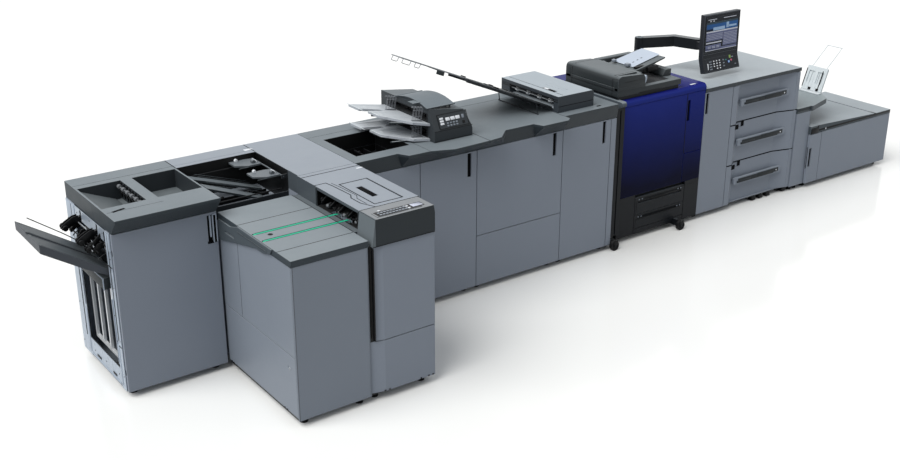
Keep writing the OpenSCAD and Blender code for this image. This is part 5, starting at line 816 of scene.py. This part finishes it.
# Inserter: mark of the lid, feed rollers and seams
collect("inserter_lid_mark", moulded_dark, slabs(1, (1960, 204, 1253.5, 1992, 214, 1258)), "inserter_lid")
roller_parts = []
for z in (1072, 1174):
    roller_parts += wheels(9, 22, [(2036, y, z) for y in (160, 220, 290, 350)])
    roller_parts.append(rod([(2036, 128, z), (2036, 428, z)], 3.5))
collect("inserter_feed_rollers", moulded_black, roller_parts)
collect("inserter_seams", moulded_black, slabs(0.3, (2000, 19, 1107.4, 2277, 21, 1110.2),
    (2004, 18.8, 1046, 2268, 20.4, 1049)))

# Long sheet unit on the relay
collect("long_sheet_hatch", surfaces["banner_unit"], slabs(1.5, (3120, 168, 1146, 3160, 350, 1148.7)))
collect("long_sheet_label", label_white, [(card(18, 44, 2.2, 0.4), turn(3056, 262, 1147.2))])
# Painted shade: a near-black liner and block fill the long sheet slot.
slot_parts = [(pan(36, 132, 3, 5), turn(3055, 230, 1148)), *slabs(1, (3041, 168, 1144, 3069, 292, 1148.5))]
slot_parts += slabs(0.3, (3040, 80, 1147.2, 3043, 632, 1148.8), (2992, 61, 1080, 3288, 62.8, 1083))
slot_parts += slabs(0.5, (3296, 28, 1040.5, 3332, 44, 1041.9))
collect("long_sheet_slot", seam_and_shade_black, slot_parts)
rib_parts = [between((2990.5, y, 1046), (2994, y + 30, 1062), 1) for y in (90, 190, 290, 390, 490, 580)]
rib_parts += slabs(0.8, (2986.5, 70, 1110, 2991, 640, 1114), (2986.5, 70, 1124, 2991, 640, 1127))
collect("long_sheet_front_ribs", moulded_black, rib_parts)

# Long tray, in its own frame, where x runs up the tray as a negative number
tray = turn(2975, 0, 1068, ry=22.9)
parts = [(block((560, 4, 3), 1), tray @ shift(-330, y, 6)) for y in (128, 172, 230, 290, 350, 410, 462, 502)]
parts += [(block((4, 380, 3), 1), tray @ shift(x, 315, 6)) for x in range(-60, -637, -96)]
collect("long_tray_ribs", moulded_dark, parts, "banner_tray")
parts = [(block((26, 60, 4), 1.5), tray @ shift(x, 160, 9)) for x in (-90, -210, -330)]
parts += [(block((18, 34, 9), 2), tray @ shift(x, y, 12)) for x, y in ((-150, 420), (-280, 420), (-420, 200),
    (-520, 420))]
collect("long_tray_stops", moulded_black, parts, "banner_tray")
FRONT_WIRE, REAR_WIRE, WIRE_HEIGHT = 257.6, 356, 8
wires = [rod([(-1140, y, WIRE_HEIGHT), (-470, y, WIRE_HEIGHT)], 3, 8) for y in (FRONT_WIRE, REAR_WIRE)]
wires += [rod([(x, 255, WIRE_HEIGHT), (x, 358.6, WIRE_HEIGHT)], 3, 8) for x in (-1140, -1020)]
for start, end in ((-1130, -1086), (-1050, -990), (-953, -915)):
    loop = [(start, WIRE_HEIGHT), (start - 5, -22), (end - 5, -22), (end, WIRE_HEIGHT)]
    wires.append(rod(bent([(x, REAR_WIRE, z) for x, z in loop], 6, 3), 2, 8))
wires = [(part, tray) for part in wires]
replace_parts(collect("long_tray_wires", comb_wire, wires, "banner_wire"), "banner_wire")
collect("long_tray_wire_plate", moulded_dark, [(block((60, 106, 5), 2), tray @ shift(-831, 307, 4)),
    (block((60, 3, 24), 1), tray @ shift(-831, 253, -8))], "banner_wire")

# Document feeder: its moulded casing, seams, guides and the original sheet
hump = [(0, 0), (252, 0), (252, 58), (244, 78), (226, 88), (34, 99), (16, 94), (6, 84), (0, 66)]
casing = [between((3500, 58, 1056.6), (4094, 582, 1098), 5, 3),
    between((3500, 58, 1090), (3752, 582, 1117.6), 2)]
casing += [(plate(hump, thick, 2.5), turn(3500, y, 1098) @ FRONT @ Matrix.Scale(0.985, 4))
    for y, thick in ((93, 35), (582, 54))]
casing += [between((3698, 90, 1112), (3752, 532, 1186), 12, 4),
    between((3740, 528, 1090), (4093, 582, 1184), 15, 4), between((3748, 498, 1090), (3800, 530, 1172), 9, 3)]
for outline, thick, radius, corner in (
        ([(0, 0), (82, 0), (82, 50), (30, 50), (0, 12)], 400, 4, (4012, 560, 1096)),
        ([(0, 0), (301, 60), (301, 51), (60, -8), (0, -16)], 272, 2.5, (3750, 454, 1168)),
        ([(0, 0), (200, 34), (200, 20), (0, -22)], 60, 3, (3752, 250, 1152))):
    casing.append((plate(outline, thick, radius), turn(*corner) @ FRONT))
casing += [rod([(x - 15, 589, 1062.3), (x + 15, 589, 1062.3)], 5) for x in (3589.1, 4004.9)]
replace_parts(collect("document_feeder_casing", feeder_plastic, casing, "document_feeder"), "document_feeder")
seam_parts = slabs(0.3, (3499, 112, 1062, 3500.8, 115, 1176), (3499, 516, 1062, 3500.8, 519, 1176),
    (3499, 90, 1096, 3500.8, 530, 1099), (3560, 57, 1150, 3740, 58.8, 1152))
seam_parts += slabs(0.5, (3700, 56.6, 1058, 3890, 58.2, 1064))
seam_parts += slabs(0.3, (3806, 100, 1098, 4010, 490, 1099.5))
seam_parts += slabs(3, (3790, 196, 1172, 3872, 222, 1192)) + slabs(5, (3850, 186, 1140, 3990, 214, 1172))
seam_parts += slabs(6, (3880, 170, 1150, 3980, 200, 1184))
collect("document_feeder_seams", moulded_black, seam_parts, "document_feeder")
collect("feed_cover_seams", moulded_black, [between((3515, y, 1196.2), (3694, y + 2.4, 1198), 0.3)
    for y in (112, 508)], "feed_cover")
SHEET_TILT = -11.3
collect("original_sheet", sheet_paper, [(plate([(0, 0), (262, 6), (274, 196), (6, 206)], 0.8, 0.2, 1),
    turn(3796, 232, 1184, ry=SHEET_TILT))], "document_feeder")
collect("sheet_marks", moulded_black, [(card(14, 8, 0.5, 0.1, 1), turn(3796, 232, 1185, ry=SHEET_TILT)
    @ shift(x, y, 0.4)) for x, y in ((62, 62), (106, 66), (146, 70))], "document_feeder")
collect("sheet_guides", key_grey, [between((3774, 262, 1182), (3806, 296, 1203), 4, 3),
    between((3774, 396, 1186), (3800, 424, 1204), 4, 3)], "document_feeder")
lever = [(0, 0), (14, 6), (24, 22), (26, 44), (18, 58), (8, 50), (12, 34), (8, 18), (-4, 10)]
collect("feeder_lever", strap_paint, [(plate(lever, 20, 2), turn(3758, 98, 1108) @ FRONT)], "document_feeder")
collect("feeder_edge_light", cover, slabs(1, (3498.6, 57, 1066, 3503, 60.4, 1186)), "document_feeder")

# Print engine: seams, rail cover, frame, cassettes and casters
collect("engine_top_tag", label_white, [(card(52, 16, 0.8, 0.2), turn(4232, 78, 1030))])
collect("engine_seams", moulded_black, slabs(0.3, (3541, 40, 984, 4326, 41.2, 987),
    (4149, 39.4, 548, 4152, 42, 984)))
collect("rail_cover", rail_paint, [between((3496, 42, 1000), (3532, 600, 1036), 15, 6),
    between((3460, 38, 940), (3524, 60, 1000), 6, 3)])
frame_parts = [(pan(46, 10, 4, 2, proud=0.8), turn(4240, 41, 470) @ FRONT)]
frame_parts += slabs(0.4, (4156, 39.6, 300, 4326, 41.2, 303),
    *[(3464, 39, z, 3520, 41, z + 3) for z in range(120, 881, 190)])
collect("engine_frame_details", moulded_black, frame_parts)
for body, z0, z1 in (("lower_cassette", 80.5, 178), ("upper_cassette", 183, 308)):
    parts = slabs(1, (3720, 39.5, z1 - 34, 4170, 43, z1 - 28), (3720, 39.5, z0 + 8, 3724, 43, z1 - 30))
    parts.append((pan(150, 14, 6, 3, proud=1.0), turn(3945, 41, z1 - 50) @ FRONT))
    collect(body + "_front_details", moulded_black, parts, body)
    collect(body + "_marks", key_grey, [between((x, 40, z1 - 22), (x + 10, 41.6, z1 - 14), 0.4)
        for x in (3740, 3768, 4120, 4146)], body)
fork = [(-16, 8), (16, 8), (20, 38), (-20, 38)]
collect("caster_forks", moulded_black, [(plate(fork, 4, 1), turn(x, y, 34) @ FRONT) for x in (3468, 4106)
    for y in (-34, 0, 748, 782)])
collect("lower_door_handle", moulded_black, [(pan(96, 12, 4, 3, proud=0.8), turn(4060, 41, 352) @ FRONT)],
    "engine_main_door")

# Operation panel: glass and keys, each in the frame of its face
pad, glass = turn(4500, 222, 1028, rx=72.07), turn(4500, 255, 1130, rx=88.9)


def tiles(face, height, boxes, thick=1.0):
    """Thin tiles on a face, each given as x, y, width, height."""
    return [(block((w, h, thick), min(w, h, thick * 2) * 0.2, 1), face @ shift(x, y, height))
        for x, y, w, h in boxes]


def on_panel(name, surface, parts):
    collect(name, surface, parts, "operation_panel")


on_panel("screen_glass", screen_night, tiles(glass, 3.0, [(184, 170, 336, 244)], 2.4))
on_panel("screen_picture", screen_sky, tiles(glass, 4.4, [(184, 224, 322, 62)]))
on_panel("screen_table", screen_slate, tiles(glass, 4.4, [
    (110, 152, 172, 62), (102, 76, 158, 34), (272, 130, 146, 110), (184, 60, 322, 16)]))
rows = [(184, 187, 322, 9), (104, 108, 160, 9), (184, 52, 322, 4)]
rows += [(110, y, 164, 2) for y in range(134, 168, 11)] + [(272, y, 138, 2) for y in range(88, 166, 11)]
rows += [(x, y, 30, 3) for y in (80, 70) for x in (60, 104, 148)]
rows += [(78, 276, 88, 5), (258, 276, 130, 5), (62, 264, 14, 8), (92, 264, 14, 8)]
on_panel("screen_rows", screen_line, tiles(glass, 5.1, rows, 0.6))
on_panel("screen_light_patches", screen_haze, tiles(glass, 5.0, [
    (150, 206, 120, 22), (238, 222, 26, 40), (286, 212, 90, 14)], 0.5))
bezel_parts = [(block((368, deep, tall), soft), glass @ shift(184, y, z)) for deep, tall, soft, y, z in (
    (7, 5, 2, 307, 1.5), (4, 4, 1.5, 24, 1), (2.4, 4, 1, 38, 1))]
bezel_parts += [(block((8, 306, 4), 1.8), glass @ shift(x, 156, 1)) for x in (4, 364)]
bezel_parts += [(block((336, 2, 2.6), 0.8), pad @ shift(184, y, 0.6)) for y in (7, 101)]
bezel_parts += [(block((2, 94, 2.6), 0.8), pad @ shift(x, 54, 0.6)) for x in (34, 352)]
on_panel("panel_bezel", bezel_plastic, bezel_parts)
keys = [(x * 368, y * 107.2, 13, 8) for x in (0.30, 0.38, 0.46) for y in (0.37, 0.54, 0.71)]
on_panel("number_keys", label_white, tiles(pad, 2.9, keys + [(140, 21.4, 13, 8), (169, 21.4, 13, 8)], 1.8))
keys = [(78, 21.4 + 18 * i, 26, 8) for i in range(4)] + [(212, y, 16, 9) for y in (30, 52, 74)]
on_panel("side_keys", key_grey, tiles(pad, 1.0, keys + [(306, 84, 20, 8), (330, 30, 16, 8)], 2.2))
on_panel("power_slider", label_white, [(plate([(-3, 0), (3, 0), (8, 44), (-1, 44)], 2.2, 0.8),
    pad @ shift(46, 22, 0))])
on_panel("ready_light", light_green, tiles(pad, 1.4, [(282, 88, 18, 22)], 3))
on_panel("stop_light", light_red, [(disc(8, 3, 1), pad @ shift(292, 62, 0))])
on_panel("teal_light", light_teal, tiles(pad, 1.2, [(238, 70, 12, 7)], 2.4))
collect("start_key_cap", light_blue, [(disc(8.5, 1.6, 0.6), pad @ shift(264.96, 53.6, 2.2))], "start_key")
collect("arm_pivot_cap", cover, [(disc(30, 3, 1), turn(4295, 690, 1236)),
    (disc(10, 5, 1), turn(4295, 690, 1238))], "panel_arm")

# Paper feeder: handles of the drawers, painted shade bars in the gaps between them, and level windows
for body, z in (("top_drawer", 814.7), ("middle_drawer", 511.3), ("bottom_drawer", 208.7)):
    handle = [(block(size, soft, 3), turn(x, y, z + rise)) for size, soft, x, y, rise in (
        ((508, 16, 44), 8, 4984, 57, 0), ((392, 7, 34), 5, 4966, 47, 1), ((236, 7, 30), 5, 5094, 44.5, 6),
        ((150, 6, 16), 4, 4830, 45, -6))]
    collect(body + "_handle_shell", handle_plastic, handle, body)
    collect(body + "_handle_dot", label_white, [(disc(5.5, 2, 0.6), turn(5186, 41.6, z + 5) @ FRONT)], body)
front = [(4624, 41.6), (4673, 41.6), (4739, 86.4), (5171, 86.4), (5321, 44.6), (5352, 41.6)]
strip = front + [(x, y + 18) for x, y in reversed(front)]
for body, z in (("middle_drawer", 640), ("bottom_drawer", 331)):
    # Painted shade: a near-black bar, shaped like the drawer front, fills the gap above the drawer.
    collect(body + "_gap_shade", seam_and_shade_black, [(plate(strip, 7.6, 0.5, 1), turn(0, 0, z + 17))], body)
    windows = [(pan(38, 24, 3, 6), turn(4690, 46, z) @ FRONT), (pan(18, 26, 3, 6), turn(4800, 85, z) @ FRONT)]
    windows += [(block((104, 1.2, 1.6), 0.5), turn(4760, 84, z + rise)) for rise in (-17, 15)]
    collect(body + "_level_windows", seam_and_shade_black, windows, body)
collect("feeder_foot_blocks", moulded_black, slabs(4, *[
    (x, 60, 4, x + 46, 96, 34) for x in (4960, 5040, 5120)], (5300, 60, 6, 5350, 96, 34)))

# Link, low paper unit and bypass tray
collect("link_trim", moulded_dark, slabs(0.5, (5360, 33, 640, 5506, 35, 662))
    + slabs(2, (5500, 60, 400, 5514, 72, 500)))
trim_parts = slabs(0.5, (5606, 9, 452, 6504, 11, 466)) + slabs(4, (5514, 40, 440, 5596, 120, 470))
trim_parts += slabs(3, (5520, 20, 446, 5560, 60, 486)) + slabs(1.5, (6300, 9, 462, 6316, 60, 472))
collect("large_unit_trim", moulded_black, trim_parts)
collect("large_unit_dot", label_white, [(disc(7, 1.6, 0.5), turn(5690, 10.5, 459) @ FRONT)])
collect("large_unit_corner", moulded_black, slabs(2, (5516, 6, 440, 5602, 11, 478),
    (5516, 9, 478, 5600, 60, 486), (5590, 8, 448, 5606, 60, 498)))
lean = turn(5842, 300, 669.3, ry=math.degrees(math.atan2(65, 180)))
slots = [(block((1.6, 9, 150), 0.6), lean @ shift(-9.6, y, 92)) for y in (-58, 93)]
slots += [(block((6, 24, 20), 2), lean @ shift(-11, y, 14)) for y in (-54, 20)]
collect("bypass_tray_slots", moulded_black, slots, "bypass_tray")
collect("bypass_tray_ridges", pale_plastic, [(block((3, 4, 170), 1.2), lean @ shift(-10, y, 96))
    for y in (-80, -30, 10, 40, 70)], "bypass_tray")
collect("bypass_tray_foot", pale_plastic, slabs(3, (5790, 196, 664, 5834, 404, 672)))

# Backs and open end: service panels with louvres, screws and sockets
rear_panels, rear_screws, rear_sockets = [], [], []
row_panels = [(x0, x1, 70, 900, ROW_BACK, 5) for x0, x1 in (
    (12, 566), (590, 1058), (1080, 1418), (1440, 1860), (1874, 2288), (2310, 2974), (2996, 3438))]
for x0, x1, z0, z1, y, louvres in row_panels + [
        (3470, 4310, 90, 930, ENGINE_BACK, 6), (4350, 5340, 90, 900, FEEDER_BACK, 6),
        (5530, 6490, 90, 400, LARGE_UNIT_BACK, 6)]:
    in_row = y == ROW_BACK
    middle, low = (x0 + x1) / 2, z0 + (z1 - z0) * 0.62
    rear_panels.append(between((x0, y, z0), (x1, y + 2, z1), 0.8))
    rear_panels += [(block(((x1 - x0) * 0.5, 4, 5), 1.8), turn(middle, y + 3, low + i * 18, rx=-24))
        for i in range(louvres)]
    columns = (x0 + 16, x1 - 16) if in_row else (x0 + 18, middle, x1 - 18)
    levels = (90, 360, 630, 882) if in_row else (110, (z1 + 90) / 2, z1 - 20)
    rear_screws += [(screw(4), turn(x, y + 2, z) @ BACK) for x in columns for z in levels]
    left, bottom, right, top = (60, 120, 130, 160) if in_row else (70, 130, 170, 190)
    rear_sockets.append(between((x0 + left, y + 1.6, bottom), (x0 + right, y + 3.4, top), 1))
collect("rear_panels", paint, rear_panels)
collect("rear_panel_screws", screw_zinc, rear_screws)
collect("rear_sockets", moulded_black, rear_sockets)
collect("right_end_panel", paint, slabs(0.6, (ROW_END, 40, 90, ROW_END + 1.6, 630, 430)))
collect("right_end_screws", screw_zinc, [(screw(4), turn(ROW_END + 1.6, y, z, ry=90)) for y in (56, 335, 614)
    for z in (106, 414)])


# Camera, floor and studio light
def add_object(name, data):
    made = bpy.data.objects.new(name, data)
    bpy.context.scene.collection.objects.link(made)
    return made


def seen_by_eye(tree):
    """1 for camera, mirror and glass rays, 0 for the light that things throw on each other."""
    path = put(tree, "LightPath").outputs
    return maths(tree, "MAXIMUM", path["Is Camera Ray"], path["Is Glossy Ray"], path["Is Transmission Ray"])


view_camera = bpy.data.cameras.new("view_camera")
view_camera.sensor_width = 36.0
view_camera.lens = 47.68
view_camera.clip_end = 200.0
camera_stand = add_object("view_camera", view_camera)
camera_stand.location = (-4.9245, -5.4815, 3.249)
camera_stand.rotation_euler = (math.radians(90 - 22.386), 0.0, math.radians(-35.673))
bpy.context.scene.camera = camera_stand

floor_shape = bmesh.new()
bmesh.ops.create_grid(floor_shape, x_segments=8, y_segments=8, size=60.0)
floor_mesh = bpy.data.meshes.new("studio_floor")
floor_shape.to_mesh(floor_mesh)
floor_shape.free()
add_object("studio_floor", floor_mesh)

pale_floor = bpy.data.materials.new("pale_floor")
pale_floor.use_nodes = True
tree = pale_floor.node_tree
cloud = noise(tree, coordinate(tree), 0.8, 4.0)
polish = feed(tree, tree.nodes["Principled BSDF"], {
    "Base_Color": mix_colour(tree, cloud, (0.95, 0.96, 0.95, 1), (0.98, 0.99, 0.98, 1)), "Roughness": 0.13,
    "Specular_IOR_Level": 0.6})
matt = put(tree, "BsdfDiffuse", Color=(0.36, 0.37, 0.38, 1))
both = put(tree, "MixShader", i0=seen_by_eye(tree), i1=matt.outputs[0], i2=polish.outputs[0])
tree.links.new(both.outputs[0], tree.nodes["Material Output"].inputs[0])
floor_mesh.materials.append(pale_floor)

world = bpy.data.worlds.new("studio")
world.use_nodes = True
bpy.context.scene.world = world
bpy.context.scene.view_settings.view_transform = "Standard"
tree = world.node_tree
soft = put(tree, "Background", Color=(0.93, 0.96, 1.0, 1), Strength=0.36)
pale = put(tree, "Background", Color=(1, 1, 1, 1), Strength=1.0)
both = put(tree, "MixShader", i0=seen_by_eye(tree), i1=soft.outputs[0], i2=pale.outputs[0])
tree.links.new(both.outputs[0], tree.nodes["World Output"].inputs[0])

for title, toward, strength, spread in (("key_light", (-0.62, -0.05, 0.78), 3.0, 50.0),
                                        ("fill_light", (0.25, -0.65, 0.72), 0.35, 60.0)):
    lamp = bpy.data.lights.new(title, "SUN")
    lamp.energy = strength
    lamp.angle = math.radians(spread)
    lamp.color = (1.0, 0.985, 0.96)
    add_object(title, lamp).rotation_euler = Vector(toward).to_track_quat("Z", "Y").to_euler()
